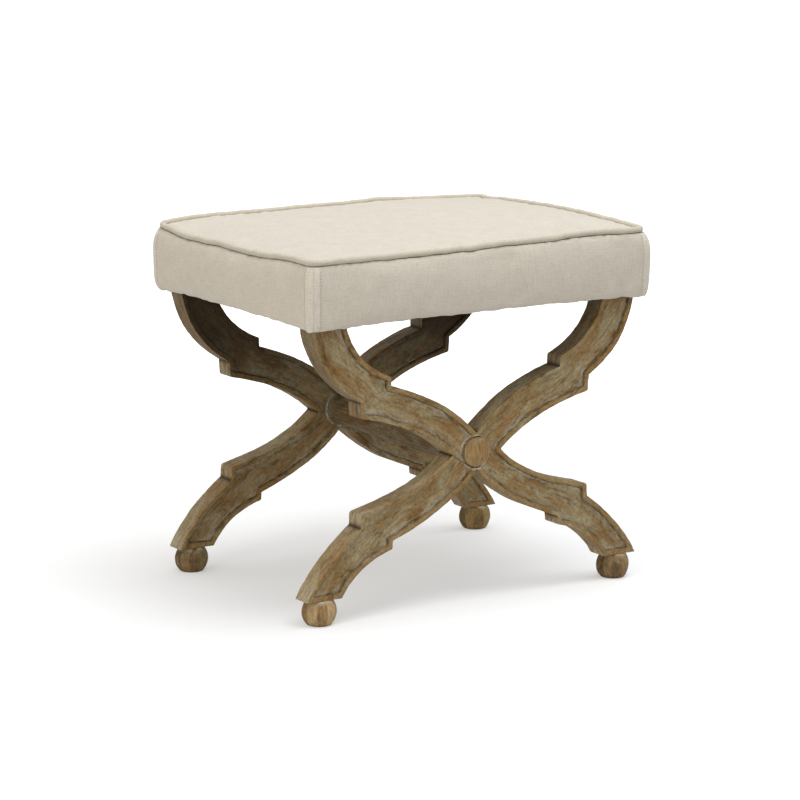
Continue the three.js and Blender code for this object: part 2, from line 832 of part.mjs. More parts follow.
// Wadding: a soft layer over the foam, under the welt and down the outside of the seat frame
function waddingWrap() {
  const skin = clothThickness + fit;
  const ring = seatRing(0, seatCornerRadius);
  const outerTop = topShares.map((share) => crownRing(share, clothThickness / 2 + fit, 0));
  const outerSide = sideShares.slice(1, -1).reverse().map((share) => (
    ring.map((place) => sidePoint(place, share, skin))
  ));
  const underWelt = [-weltRadius * weltBedShare, 0].map((out) => ring.map((place) => {
    const centre = weltCentre(place);
    return at(centre.x + place.out.x * out, centre.y + place.out.y * out, centre.z - weltRadius - fit);
  }));
  const bottom = railBottom + fit;
  const outerFoot = ring.map((place) => sidePoint(place, 0, skin).setZ(bottom));
  const level = (inset, radius, z) => seatRing(inset, radius).map((place) => at(place.x, place.y, z));
  const innerFoot = level(railInset - fit, fit, bottom);
  const innerShelf = level(railInset - fit, fit, foamBottom);
  const innerFoam = level(foamInset - fit, seatCornerRadius, foamBottom);
  const foamEdge = foamInset - weltTuck - weltRadius - fit;
  const innerTop = topShares.map((share) => crownRing(share, foamDepth - fit, foamEdge));
  return loft([
    crownTop(clothThickness / 2 + fit), ...outerTop, ...underWelt, ...outerSide, outerFoot,
    innerFoot, innerShelf, innerFoam, ...innerTop.reverse(), crownTop(foamDepth - fit),
  ]);
}

// Dust cover: a thin sheet under the seat frame, notched round the four leg tops
function dustCover() {
  const inset = turnUnder + 2 * fit;
  const halfLength = seatLength / 2 - inset;
  const halfDepth = seatDepth / 2 - inset;
  const top = railBottom - fit;
  const bottom = top - dustCoverThickness;
  const blank = block(at(-halfLength, -halfDepth, bottom), at(halfLength, halfDepth, top));
  const notches = [];
  for (const side of [-1, 1]) {
    for (const face of [-1, 1]) {
      const inner = side * (legTopCentre - legTopWidth / 2 - fit);
      const outer = side * (halfSpan + legTopInset);
      const y = face * trestleCentre;
      const halfNotch = legThickness / 2 + fit;
      notches.push(block(
        at(Math.min(inner, outer), y - halfNotch, bottom - overrun),
        at(Math.max(inner, outer), y + halfNotch, top + overrun),
      ));
    }
  }
  return cut(blank, notches);
}

// Assembly
const faceNames = { 1: 'rear', '-1': 'front' };

function seatFrame() {
  const group = new THREE.Group();
  for (const face of [-1, 1]) {
    group.add(named(`rail_${faceNames[face]}`, longRail(face), pine));
  }
  for (const side of [-1, 1]) {
    group.add(named(`rail_${endNames[side]}`, shortRail(side), pine));
    for (const face of [-1, 1]) {
      const place = `${faceNames[face]}_${endNames[side]}`;
      group.add(named(`corner_block_${place}`, cornerBlock(side, face), pine));
      railDowelHeights().forEach((height, i) => {
        group.add(named(`rail_dowel_${place}_${i + 1}`, railDowel(side, face, height, 0), pine));
      });
      legScrewPlaces(side).forEach((x, i) => {
        const length = railHeight - legScrewSink + fit + legScrewReach;
        const screw = named(`leg_screw_${place}_${i + 1}`, woodScrew(length), steel);
        screw.position.set(x, face * trestleCentre, railTop - legScrewSink);
        group.add(screw);
      });
      const deckScrew = named(`deck_screw_${place}`, woodScrew(deckThickness + deckScrewReach), steel);
      deckScrew.position.set(side * blockScrewX, face * blockScrewY, deckTop);
      group.add(deckScrew);
    }
  }
  group.add(named('deck_board', deckBoard(), plywood));
  return group;
}

function upholstery() {
  const group = new THREE.Group();
  group.add(named('foam_pad', foamPad(), foam));
  group.add(named('wadding_wrap', waddingWrap(), polyester));
  group.add(named('cover_top', coverTop(), linen));
  ['front', 'right', 'rear', 'left'].forEach((name, quarter) => {
    group.add(named(`boxing_${name}`, boxingPanel(quarter), linen));
  });
  group.add(named('welt', welt(), linen));
  group.add(named('dust_cover', dustCover(), cambric));
  return group;
}

const stool = new THREE.Group();
stool.add(trestle('front', -1));
stool.add(trestle('rear', 1));
stool.add(named('stretcher', stretcher(), limedOak));
stool.add(seatFrame());
stool.add(upholstery());

export default stool;
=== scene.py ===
import math

import bpy
import numpy as np
from bpy.props import FloatProperty, FloatVectorProperty, PointerProperty
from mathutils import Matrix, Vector


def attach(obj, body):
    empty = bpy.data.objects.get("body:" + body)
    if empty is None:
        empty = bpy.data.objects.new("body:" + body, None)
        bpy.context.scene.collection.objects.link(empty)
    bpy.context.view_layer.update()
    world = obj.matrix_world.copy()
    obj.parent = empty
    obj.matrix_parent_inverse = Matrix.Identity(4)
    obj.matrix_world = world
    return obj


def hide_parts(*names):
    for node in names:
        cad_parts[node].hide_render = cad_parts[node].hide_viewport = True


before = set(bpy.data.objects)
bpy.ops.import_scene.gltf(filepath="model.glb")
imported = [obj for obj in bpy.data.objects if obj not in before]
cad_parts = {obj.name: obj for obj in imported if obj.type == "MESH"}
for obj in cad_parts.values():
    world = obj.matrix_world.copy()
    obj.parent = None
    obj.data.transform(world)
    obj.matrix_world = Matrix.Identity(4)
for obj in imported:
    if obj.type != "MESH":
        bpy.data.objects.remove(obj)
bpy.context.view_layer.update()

bl_info = {
    "name": "X Frame Stool",
    "version": (1, 0, 0),
    "blender": (4, 5, 0),
    "location": "View3D > Sidebar > Stool",
    "description": "Builds an upholstered X frame stool piece by piece",
    "category": "Add Mesh",
}

# Sizes of the frame in millimetres. Shapes are worked out in millimetres and stored in metres.
MM = 0.001
FIT = 0.3
SEAT_LENGTH, SEAT_DEPTH = 566.0, 434.0
SEAT_CORNER, TOP_CORNER = 7.0, 16.0
CLOTH = 1.4
WELT_TUCK, SIDE_WAIST, CORNER_DROP, HEM_DROOP = 0.8, 3.5, 1.5, 3.8
CORNER_REACH = 46.0
WELT_LEAN = 0.45
RAIL_INSET, RAIL_HEIGHT, DECK_THICKNESS, FOAM_EDGE = 7.0, 45.0, 10.0, 33.0
TURN_UNDER = RAIL_INSET - 3 * FIT
FOOT_RADIUS, FOOT_FLAT, FOOT_SHARE = 25.4, 17.0, 0.72
FOOT_HEIGHT = 2 * FOOT_RADIUS * FOOT_SHARE
LEG_BOTTOM, LEG_TOP = FOOT_HEIGHT + FIT, 426.0
TRESTLE_HEIGHT = LEG_TOP - LEG_BOTTOM
LEG_THICKNESS, FIELD_DEPTH = 34.0, 3.0
LEG_MARGIN, TRESTLE_MARGIN = 9.0, 17.4
HALF_SPAN = SEAT_LENGTH / 2 - LEG_MARGIN
TRESTLE_CENTRE = SEAT_DEPTH / 2 - TRESTLE_MARGIN - LEG_THICKNESS / 2
RAIL_BOTTOM = LEG_TOP + FIT
DUST_COVER_TOP, DUST_COVER_THICKNESS = RAIL_BOTTOM - FIT - 0.05, 0.8
FOAM_BOTTOM = RAIL_BOTTOM + RAIL_HEIGHT + FIT + DECK_THICKNESS + FIT
SEAM_HEIGHT = FOAM_BOTTOM + FOAM_EDGE
ROUNDEL_RADIUS, ROUNDEL_REVEAL = 21.5, 1.6
STRETCHER_RADIUS, TENON_RADIUS = 23.5, 12.0
WASHER_RADIUS, WASHER_SEAT, TENON_END = 10.0, -4.7, 2.1
STRETCHER_HALF = TRESTLE_CENTRE - LEG_THICKNESS / 2 + FIELD_DEPTH - FIT
TENON_HALF = TRESTLE_CENTRE - TENON_END - FIT


# Colours and nodes

def linear(colour):
    """An sRGB hex colour as linear red, green, blue and an alpha of one."""
    parts = [int(colour[i:i + 2], 16) / 255 for i in (1, 3, 5)]
    return tuple(c / 12.92 if c <= 0.04045 else ((c + 0.055) / 1.055) ** 2.4 for c in parts) + (1.0,)


def grey(level):
    """A grey of that linear level."""
    return (level, level, level, 1.0)


def add_node(tree, kind, inputs=None, stops=(), **settings):
    """Adds a node with its settings, its input values and the links that reach it, and gives its outputs.
    A colour is a hex value. The stops of a colour ramp are pairs of a position and a hex value or a grey
    level."""
    node = tree.nodes.new("ShaderNode" + kind)
    for name, value in settings.items():
        setattr(node, name, value)
    for key, value in (inputs or {}).items():
        if isinstance(value, bpy.types.NodeSocket):
            tree.links.new(value, node.inputs[key])
        else:
            node.inputs[key].default_value = linear(value) if isinstance(value, str) else value
    if stops:
        elements = node.color_ramp.elements
        while len(elements) < len(stops):
            elements.new(0.5)
        for element, (position, colour) in zip(elements, stops):
            element.position = position
            element.color = linear(colour) if isinstance(colour, str) else grey(colour)
    return node.outputs


def new_material(name):
    """An empty material and its node tree."""
    material = bpy.data.materials.new(name)
    material.use_nodes = True
    material.node_tree.nodes.clear()
    return material, material.node_tree


def finish_material(material, inputs):
    """Gives a material its shader with those inputs, and its output."""
    shader = add_node(material.node_tree, "BsdfPrincipled", inputs)
    add_node(material.node_tree, "OutputMaterial", {"Surface": shader[0]})
    return material


def cloud(tree, vector, size, detail=3.0, rough=0.5, distortion=0.0, move=(0, 0, 0), stretch=(1, 1, 1)):
    """A cloudy pattern whose blobs are about that many millimetres wide, moved and stretched."""
    placed = add_node(tree, "Mapping", {"Vector": vector, "Location": move, "Scale": stretch})
    return add_node(tree, "TexNoise", {"Vector": placed[0], "Scale": 1 / (size * MM), "Detail": detail,
                                       "Roughness": rough, "Distortion": distortion})[0]


def patches(tree, stops, *pattern, **place):
    """Patches with soft edges: a cloudy pattern turned into grey levels by its stops."""
    return add_node(tree, "ValToRGB", {0: cloud(tree, *pattern, **place)}, stops)[0]


def coats(tree, base, layers):
    """Colours laid over a base one after another, each a (way of mixing, share, colour)."""
    for way, share, colour in layers:
        base = add_node(tree, "Mix", {0: share, 6: base, 7: colour}, data_type="RGBA", blend_type=way)[2]
    return base


def relief(tree, *layers):
    """The normal of a surface under layers of relief, each a (height, depth in millimetres)."""
    inputs = {}
    for height, depth in layers:
        inputs.update({"Strength": 1.0, "Distance": depth * MM, "Height": height})
        inputs["Normal"] = add_node(tree, "Bump", inputs)[0]
    return inputs["Normal"]


def carried(tree, label):
    """The three levels that a mesh carries at each point under that label."""
    colour = add_node(tree, "Attribute", attribute_name=label)["Color"]
    return list(add_node(tree, "SeparateColor", {"Color": colour}))


def seen_directly(tree):
    """One for what the camera sees by itself or in glossy and clear surfaces, and zero for all else."""
    path = add_node(tree, "LightPath")
    mirrored = add_node(tree, "Math", {0: path["Is Glossy Ray"], 1: path["Is Transmission Ray"]},
                        operation="MAXIMUM")
    return add_node(tree, "Math", {0: path["Is Camera Ray"], 1: mirrored[0]}, operation="MAXIMUM")[0]


# Surfaces

UP = np.array([0.0, 0.0, 1.0])


def ripple(points, size, seed, waves=14):
    """A smooth random height at each point: the sum of sine waves in random ways, with lengths near size,
    divided by the square root of their number."""
    random = np.random.RandomState(seed)
    points = np.asarray(points, float)
    ways = random.normal(size=(waves, points.shape[-1]))
    ways /= np.linalg.norm(ways, axis=1, keepdims=True)
    lengths = size * random.uniform(0.6, 1.6, waves)
    phases = random.uniform(0, 2 * np.pi, waves)
    angles = points @ (ways / lengths[:, None]).T * 2 * np.pi + phases
    return np.sin(angles).sum(-1) / math.sqrt(waves)


def smooth(value):
    """Zero below zero, one above one, and an even S between them."""
    value = np.clip(value, 0, 1)
    return value * value * (3 - 2 * value)


def quads(table):
    """The four corners of every cell of a table of point numbers, or of uv pairs."""
    cells = np.stack([table[:-1, :-1], table[:-1, 1:], table[1:, 1:], table[1:, :-1]], axis=2)
    return cells.reshape((-1, 4) + table.shape[2:])


def closed_table(table):
    """A table whose first column is repeated after its last, so that its rows are closed rings."""
    return np.concatenate([table, table[:, :1]], axis=1)


def fan(ring, centre):
    """Triangles from a ring of point numbers to one point in its middle."""
    return np.stack([ring, np.roll(ring, -1), np.full(len(ring), centre)], axis=1)


def capped(table, pole):
    """Faces of rings of point numbers, closed by a fan to one point at each end: the pole and the next."""
    return [quads(closed_table(table)), fan(table[0][::-1], pole), fan(table[-1], pole + 1)]


def crowded(shares):
    """Even shares from zero to one, moved closer together at both ends by a sine."""
    return shares - 0.36 * np.sin(2 * np.pi * shares) / (2 * np.pi)


def round_place(radius, angle, height):
    """Points at a radius, an angle and a height."""
    return np.stack(np.broadcast_arrays(radius * np.cos(angle), radius * np.sin(angle), height), axis=-1)


def signed_volume(points, faces):
    """Six times the volume inside the faces, below zero where they point inwards."""
    total = 0.0
    for group in faces:
        first = points[group[:, 0]]
        for i in range(1, group.shape[1] - 1):
            cross = np.cross(points[group[:, i]], points[group[:, i + 1]])
            total += float((first * cross).sum())
    return total


def make_piece(name, points, faces, uvs=None, layers=None, sharp=None, closed=True):
    """A mesh object from points in millimetres, groups of faces, a uv pair for each face corner and
    colours for each point. Faces of a closed piece are turned to point outwards."""
    points = np.asarray(points, float)
    if closed and signed_volume(points - points.mean(0), faces) < 0:
        faces = [group[:, ::-1] for group in faces]
        uvs = [group[:, ::-1] for group in uvs] if uvs else uvs
    mesh = bpy.data.meshes.new(name)
    corners = np.concatenate([group.ravel() for group in faces]).astype(np.int32)
    counts = np.concatenate([np.full(len(group), group.shape[1]) for group in faces])
    mesh.vertices.add(len(points))
    mesh.vertices.foreach_set("co", (points * MM).astype(np.float32).ravel())
    mesh.loops.add(len(corners))
    mesh.loops.foreach_set("vertex_index", corners)
    mesh.polygons.add(len(counts))
    starts = np.concatenate([[0], np.cumsum(counts)[:-1]]).astype(np.int32)
    mesh.polygons.foreach_set("loop_start", starts)
    mesh.update(calc_edges=True)
    if uvs:
        layer = mesh.uv_layers.new(name="cloth")
        flat = np.concatenate([group.reshape(-1, 2) for group in uvs]) * MM
        layer.data.foreach_set("uv", flat.astype(np.float32).ravel())
    for label, values in (layers or {}).items():
        layer = mesh.attributes.new(label, "FLOAT_COLOR", "POINT")
        colours = np.concatenate([values, np.ones((len(values), 1))], axis=1)
        layer.data.foreach_set("color", colours.astype(np.float32).ravel())
    mesh.validate()
    mesh.polygons.foreach_set("use_smooth", np.ones(len(counts), bool))
    if sharp is not None:
        mesh.set_sharp_from_angle(angle=math.radians(sharp))
    piece = bpy.data.objects.new(name, mesh)
    bpy.context.scene.collection.objects.link(piece)
    return piece


def finish_piece(piece, material, slot, *nodes):
    """Gives a piece its material and its body, and hides the nodes that it stands for. The slot is not used.
    """
    piece.data.materials.append(material)
    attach(piece, "root")
    if nodes:
        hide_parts(*nodes)


# Legs: corners and curved edges of the outline, as shares of the half span and the trestle's height

CORNERS = {
    "top_outer": (1, 1),
    "upper_outer_root": (0.7095, 0.7055),
    "upper_outer_tip": (0.7036, 0.6454),
    "top_inner": (0.7938, 1),
    "upper_inner_tip": (0.5237, 0.786),
    "upper_inner_root": (0.523, 0.7487),
    "top_crotch": (0, 0.5426),
    "side_crotch": (0.1522, 0.469),
    "bottom_crotch": (0, 0.4052),
    "lower_outer_tip": (0.7033, 0.2939),
    "lower_outer_root": (0.7077, 0.2451),
    "toe_outer": (1.0281, 0),
    "toe_inner": (0.8182, 0),
    "lower_inner_tip": (0.5175, 0.1519),
    "lower_inner_root": (0.5146, 0.1832),
}
CROSSING = LEG_BOTTOM + CORNERS["side_crotch"][1] * TRESTLE_HEIGHT
TOE_CENTRE = (CORNERS["toe_outer"][0] + CORNERS["toe_inner"][0]) / 2 * HALF_SPAN
LEG_TOP_CENTRE = (CORNERS["top_outer"][0] + CORNERS["top_inner"][0]) / 2 * HALF_SPAN
LEG_TOP_WIDTH = (CORNERS["top_outer"][0] - CORNERS["top_inner"][0]) * HALF_SPAN

# Each curved edge: its first corner, its last one, how far it stands off its chord and where it leans
EDGES = {
    "upper_outer_end": ("top_outer", "upper_outer_root", 0.122, 0.5),
    "upper_outer_arm": ("upper_outer_tip", "side_crotch", -0.066, 0.58),
    "upper_inner_end": ("top_inner", "upper_inner_tip", 0.133, 0.45),
    "upper_inner_arm": ("upper_inner_root", "top_crotch", -0.07, 0.5),
    "lower_outer_arm": ("side_crotch", "lower_outer_tip", -0.072, 0.34),
    "lower_outer_end": ("lower_outer_root", "toe_outer", 0.056, 0.58),
    "lower_inner_arm": ("bottom_crotch", "lower_inner_root", -0.067, 0.36),
    "lower_inner_end": ("lower_inner_tip", "toe_inner", 0.108, 0.54),
}

# The two edges of a leg from the toe on the left to the top on the right: (edge, corner reached, side)
UPPER_EDGE = [
    (None, "toe_outer", -1),
    ("lower_outer_end", "lower_outer_root", -1),
    (None, "lower_outer_tip", -1),
    ("lower_outer_arm", "side_crotch", -1),
    (None, "top_crotch", 1),
    ("upper_inner_arm", "upper_inner_root", 1),
    (None, "upper_inner_tip", 1),
    ("upper_inner_end", "top_inner", 1),
]
LOWER_EDGE = [
    (None, "toe_inner", -1),
    ("lower_inner_end", "lower_inner_tip", -1),
    (None, "lower_inner_root", -1),
    ("lower_inner_arm", "bottom_crotch", -1),
    (None, "side_crotch", 1),
    ("upper_outer_arm", "upper_outer_tip", 1),
    (None, "upper_outer_root", 1),
    ("upper_outer_end", "top_outer", 1),
]
# Which stretch is the half-lap, and the distance between rows
LAP_STRETCH = 3
ROW_STEP = 1.3


def leg_corner(name, side):
    """A corner of the outline in millimetres."""
    x, z = CORNERS[name]
    return np.array([side * x * HALF_SPAN, LEG_BOTTOM + z * TRESTLE_HEIGHT])


def leg_curve(edge, start, end, side, shares):
    """Points of an edge: a quadratic curve whose control point stands off the chord, or a straight line."""
    shares = shares[:, None]
    if edge is None:
        return start + (end - start) * shares
    first, last, stand_off, lean = EDGES[edge]
    origin = leg_corner(first, 1)
    chord = leg_corner(last, 1) - origin
    control = origin + chord * lean + 2 * stand_off * np.array([-chord[1], chord[0]])
    control = control * np.array([side, 1])
    return start * (1 - shares) ** 2 + 2 * control * shares * (1 - shares) + end * shares ** 2


def edge_rows(path, counts):
    """All points of one long edge of a leg, the same number on each stretch as on the other edge."""
    rows = []
    start = leg_corner(path[0][1], path[0][2])
    for (edge, name, side), count in zip(path[1:], counts):
        end = leg_corner(name, side)
        rows.append(leg_curve(edge, start, end, side, np.arange(count) / count))
        start = end
    rows.append(start[None])
    return np.concatenate(rows)


def stretch_counts():
    """How many rows each stretch of a leg has, from the mean length of its two edges."""
    counts = []
    for i in range(1, len(UPPER_EDGE)):
        lengths = []
        for path in (UPPER_EDGE, LOWER_EDGE):
            start = leg_corner(path[i - 1][1], path[i - 1][2])
            end = leg_corner(path[i][1], path[i][2])
            curve = leg_curve(path[i][0], start, end, path[i][2], np.linspace(0, 1, 20))
            lengths.append(np.linalg.norm(np.diff(curve, axis=0), axis=1).sum())
        counts.append(max(4, round(sum(lengths) / 2 / ROW_STEP)))
    return counts


def hand_wobble(points, seed):
    """Points of a sawn outline moved by a slow random amount, under half a millimetre."""
    shift = np.stack([ripple(points, 70, seed), ripple(points, 70, seed + 1)], axis=-1)
    return points + 0.35 * shift


# Edges whose lip fades into a soft roll on the outer face: (edge, side)
SOFT_EDGES = (("lower_outer_end", -1), ("lower_outer_arm", -1), ("upper_inner_arm", 1),
              ("upper_inner_end", 1), ("upper_outer_end", -1))
STRAIGHT_EDGES = (("upper_outer_root", "upper_outer_tip"), ("upper_inner_tip", "upper_inner_root"),
                  ("lower_outer_tip", "lower_outer_root"), ("toe_outer", "toe_inner"),
                  ("lower_inner_tip", "lower_inner_root"))


def outline_segments(seed, soft):
    """The outline of both legs of a trestle as short straight pieces, without the ends under the seat:
    its soft edges, or all the others."""
    starts, ends = [], []
    for side in (-1, 1):
        for edge, (first, last, _, _) in EDGES.items():
            if ((edge, side) in SOFT_EDGES) != soft:
                continue
            line = leg_curve(edge, leg_corner(first, side), leg_corner(last, side), side,
                             np.linspace(0, 1, 24))
            starts.append(line[:-1])
            ends.append(line[1:])
        for first, last in () if soft else STRAIGHT_EDGES:
            starts.append(leg_corner(first, side)[None])
            ends.append(leg_corner(last, side)[None])
    return hand_wobble(np.concatenate(starts), seed), hand_wobble(np.concatenate(ends), seed)


def distance_to_outline(points, segments):
    """The least distance from each point to the outline's straight pieces."""
    start, end = segments
    along = end - start
    length = (along ** 2).sum(1)
    least = np.full(len(points), 1e9)
    for i in range(len(start)):
        from_start = points - start[i]
        share = np.clip(from_start @ along[i] / length[i], 0, 1)
        gap = from_start - share[:, None] * along[i]
        least = np.minimum(least, (gap ** 2).sum(1))
    return np.sqrt(least)


def rounding(distance, radius):
    """How far a rounded corner falls away, at a distance from the corner's edge."""
    inside = np.clip(radius - distance, 0, radius)
    return radius - np.sqrt(np.maximum(radius ** 2 - inside ** 2, 0))


# Widths, places and depths of the carving: cove, groove, hollow and the lip's rolled edge
COVE_WIDTH, SOFT_COVE = 1.4, 6.5
GROOVE_PLACE, GROOVE_WIDTH, GROOVE_DEPTH = 1.6, 0.7, 0.65
HOLLOW_PLACE, HOLLOW_WIDTH, HOLLOW_DEPTH = 2, 14, 0.9
ROLL_PLACE, ROLL_WIDTH, ROLL_DEPTH = 1.2, 0.7, 0.3
TOOL_MARKS = 0.2


def carved_depth(distance, lip, depth, marks, soft):
    """How deep the face lies at a distance from the outline: a flat lip, a short cove, a fine groove at
    its foot and a hollow field. Where the lip is soft, one long even slope takes the place of the cove."""
    width = COVE_WIDTH + SOFT_COVE * soft
    foot = distance - lip
    wall = smooth((foot + width * 0.47) / width)
    groove = GROOVE_DEPTH * (1 - soft) * np.exp(-((foot - GROOVE_PLACE) / GROOVE_WIDTH) ** 2)
    hollow = HOLLOW_DEPTH * smooth((foot - HOLLOW_PLACE) / HOLLOW_WIDTH)
    lip_roll = ROLL_DEPTH * (1 - soft) * np.exp(-((foot + ROLL_PLACE) / ROLL_WIDTH) ** 2)
    return depth * wall + groove + hollow + lip_roll + TOOL_MARKS * marks * wall


# Places on a rounded arris as shares of its radius, and distances of the columns from a leg's edge, closest
# at the foot of the lip
ARRIS_STEPS = np.array([0.29, 0.6, 1.0])
EDGE_COLUMNS = np.array([2.2, 3.6, 5.0, 6.1, 6.9, 7.5, 8.1, 8.7, 9.3, 9.9, 10.6, 11.5, 12.8])
FIELD_COLUMNS = 24
SIDE_COLUMNS = np.linspace(3, LEG_THICKNESS - 3, 11)
ROUNDEL_SEAT, STRETCHER_SEAT = ROUNDEL_RADIUS + ROUNDEL_REVEAL, STRETCHER_RADIUS + FIT
POCKETS = ["upper_outer_tip", "upper_inner_tip", "lower_outer_tip", "lower_inner_tip",
           "toe_inner", "toe_outer"]
ROOTS = ["upper_outer_root", "upper_inner_root", "lower_outer_root", "lower_inner_root",
         "top_crotch", "side_crotch", "bottom_crotch"]


def near_corners(points, names, reach):
    """One at the named corners, falling to nothing at that many millimetres from them."""
    level = np.zeros(len(points))
    for name in names:
        for side in (-1, 1):
            gap = np.linalg.norm(points - leg_corner(name, side), axis=1)
            level = np.maximum(level, np.exp(-(gap / reach) ** 2))
    return level


def leg_rows(side, seed, arris):
    """The two long edges of a leg, row by row from the toe to the top, with softened tips, a rounded toe and
    two rows in one place at each shoulder of the half-lap. Also which rows lie in the half-lap, and how far
    each row is drawn in by the toe's rounding."""
    counts = stretch_counts()
    upper, lower = edge_rows(UPPER_EDGE, counts), edge_rows(LOWER_EDGE, counts)
    stops = np.concatenate([[0], np.cumsum(counts)])
    for edge, tips in ((upper, (2, 6)), (lower, (1, 5))):
        for i in stops[list(tips)]:
            for _ in range(4):
                edge[i - 1:i + 2] = (0.25 * edge[i - 2:i + 1] + 0.5 * edge[i - 1:i + 2]
                                     + 0.25 * edge[i:i + 3])
    upper, lower = hand_wobble(upper * [side, 1], seed), hand_wobble(lower * [side, 1], seed)

    # The shoulders are moved off the other leg by the clearance
    first, last = stops[LAP_STRETCH], stops[LAP_STRETCH + 1]
    for edge in (upper, lower):
        for i, step in ((first, -1), (last, 1)):
            way = edge[i + step] - edge[i]
            edge[i] += way / np.linalg.norm(way) * FIT
    rows = np.concatenate([np.arange(first + 1), np.arange(first, last + 1), np.arange(last, len(upper))])
    halved = np.zeros(len(rows) + 2, bool)
    halved[first + 3:last + 4] = True
    upper, lower = upper[rows], lower[rows]

    # The toe's lower end is rounded over a few rows
    steps = arris * ARRIS_STEPS
    end_in = np.concatenate([rounding(steps, arris), np.zeros(len(rows) - 1)])
    rounded = []
    for edge in (upper, lower):
        way = (edge[1] - edge[0]) / np.linalg.norm(edge[1] - edge[0])
        edge = np.concatenate([edge[0] + way * (steps - steps[0])[:, None], edge[1:]])
        edge[:, 1] = np.clip(edge[:, 1], LEG_BOTTOM, LEG_TOP)
        rounded.append(edge)
    return rounded[0], rounded[1], halved, end_in


def face_colours(plane, distance, foot, softness, from_centre, seed):
    """Lime, wear, grime and painted shade of a leg's outer and inner face. Lime lies at the foot of the lip,
    in the corners' pockets and round the roundel or the stretcher, wear is on the arris and the lip, grime
    with painted shade lies in the groove, and painted shade lies in a wider band at the foot of the lip and
    in the gap round the turned piece. Foot is the distance from the foot of the lip."""
    cloudy = 0.5 + 0.5 * ripple(plane, 48, seed + 7).reshape(foot.shape)
    broken = 0.5 + 0.5 * ripple(plane, 15, seed + 8).reshape(foot.shape)
    pocket = near_corners(plane, POCKETS, 15).reshape(foot.shape)
    at_foot, past_foot = smooth((foot - 0.5) / 1.5), np.maximum(foot - 2, 0)
    line = np.exp(-((foot - 1.7) / 1.0) ** 2) * np.clip(cloudy * 1.3 - 0.15 + 0.7 * pocket, 0, 1.2)
    line = line + 0.34 * at_foot * np.exp(-past_foot / 8) * np.clip(1.6 * broken * cloudy, 0, 1)
    fill = pocket * at_foot * np.exp(-past_foot / 4.5) * (0.85 + 0.5 * broken)
    arris = np.exp(-(distance / 1.3) ** 2) * (0.5 + 0.5 * cloudy)
    lip_top = smooth((-foot - 0.6) / 2) * np.clip(1.3 * broken, 0, 1) * 0.7
    # A thin dark line of grime and painted shade at the foot of the lip, then a wider band of painted shade
    dark = np.exp(-((foot - 0.3) / 0.8) ** 2) * np.clip(0.16 + 0.5 * broken, 0, 0.65)
    dark = dark + 0.22 * np.exp(-((foot - 0.8) / 2.2) ** 2)
    colours = []
    for seat, soft in ((ROUNDEL_SEAT, softness), (STRETCHER_SEAT, 0 * softness)):
        ring = np.exp(-((from_centre - seat - 1.0) / 1.6) ** 2) * (0.4 + 0.5 * cloudy)
        # gap: painted shade in the gap round the turned piece that sits there
        gap = np.exp(-((from_centre - seat + 0.6) / 0.6) ** 2)
        crest = (0.5 * soft * np.exp(-((foot + 3) / 3.5) ** 2)
                 + 0.75 * (1 - soft) * np.exp(-((foot + 1.1) / 1.2) ** 2))
        wear = np.maximum(arris, lip_top * (1 - soft)) + crest
        colours.append(np.stack([(line + fill) * (1 - soft) + ring, wear, dark * (1 - soft) + gap], axis=-1))
    return np.clip(colours, 0, 1)


def side_colours(edge, seed):
    """Lime, wear and darkening along one long edge of a leg: cloudy lime that was rubbed in, most near the
    tips, wear on both arrises and darker colour in the roots."""
    inset = np.minimum(SIDE_COLUMNS, LEG_THICKNESS - SIDE_COLUMNS)
    inset = np.concatenate([ARRIS_STEPS[1:], inset, ARRIS_STEPS[:0:-1]])
    root = near_corners(edge, ROOTS, 4)[:, None]
    tips = near_corners(edge, POCKETS, 30)[:, None]
    wear = np.exp(-(inset / 1.6) ** 2) * np.ones_like(root) * 0.8
    place = np.stack(np.broadcast_arrays(edge[:, :1], edge[:, 1:], 8 * inset[None]), axis=-1)
    rubbed = 0.03 + (0.14 + 0.36 * tips) * np.clip(0.5 + 0.6 * ripple(place, 34, seed), 0, 1)
    return np.stack([rubbed * (1 - wear), wear, root * np.ones_like(wear)], axis=-1)


def rubbing_way(upper, lower, grid):
    """The way the finish was rubbed, in metres at each point: the distance along an even middle line of the
    leg, away from that line, and through the leg."""
    middle = (upper + lower) / 2
    number = np.arange(len(middle))
    near = np.exp(-((number[:, None] - number) / 24) ** 2)
    middle = near @ middle / near.sum(1)[:, None]
    walked = np.concatenate([[0], np.cumsum(np.linalg.norm(np.diff(middle, axis=0), axis=1))])
    spots = grid[..., [0, 2]].reshape(-1, 2)
    closest = np.concatenate([((part[:, None] - middle) ** 2).sum(-1).argmin(1)
                              for part in np.array_split(spots, 60)])
    heading = np.gradient(middle, axis=0)
    heading /= np.linalg.norm(heading, axis=1)[:, None]
    away, heading = spots - middle[closest], heading[closest]
    along = walked[closest] + (away * heading).sum(1)
    aside = away[:, 1] * heading[:, 0] - away[:, 0] * heading[:, 1]
    return np.stack([along, aside, grid[..., 1].ravel()], axis=-1) * MM


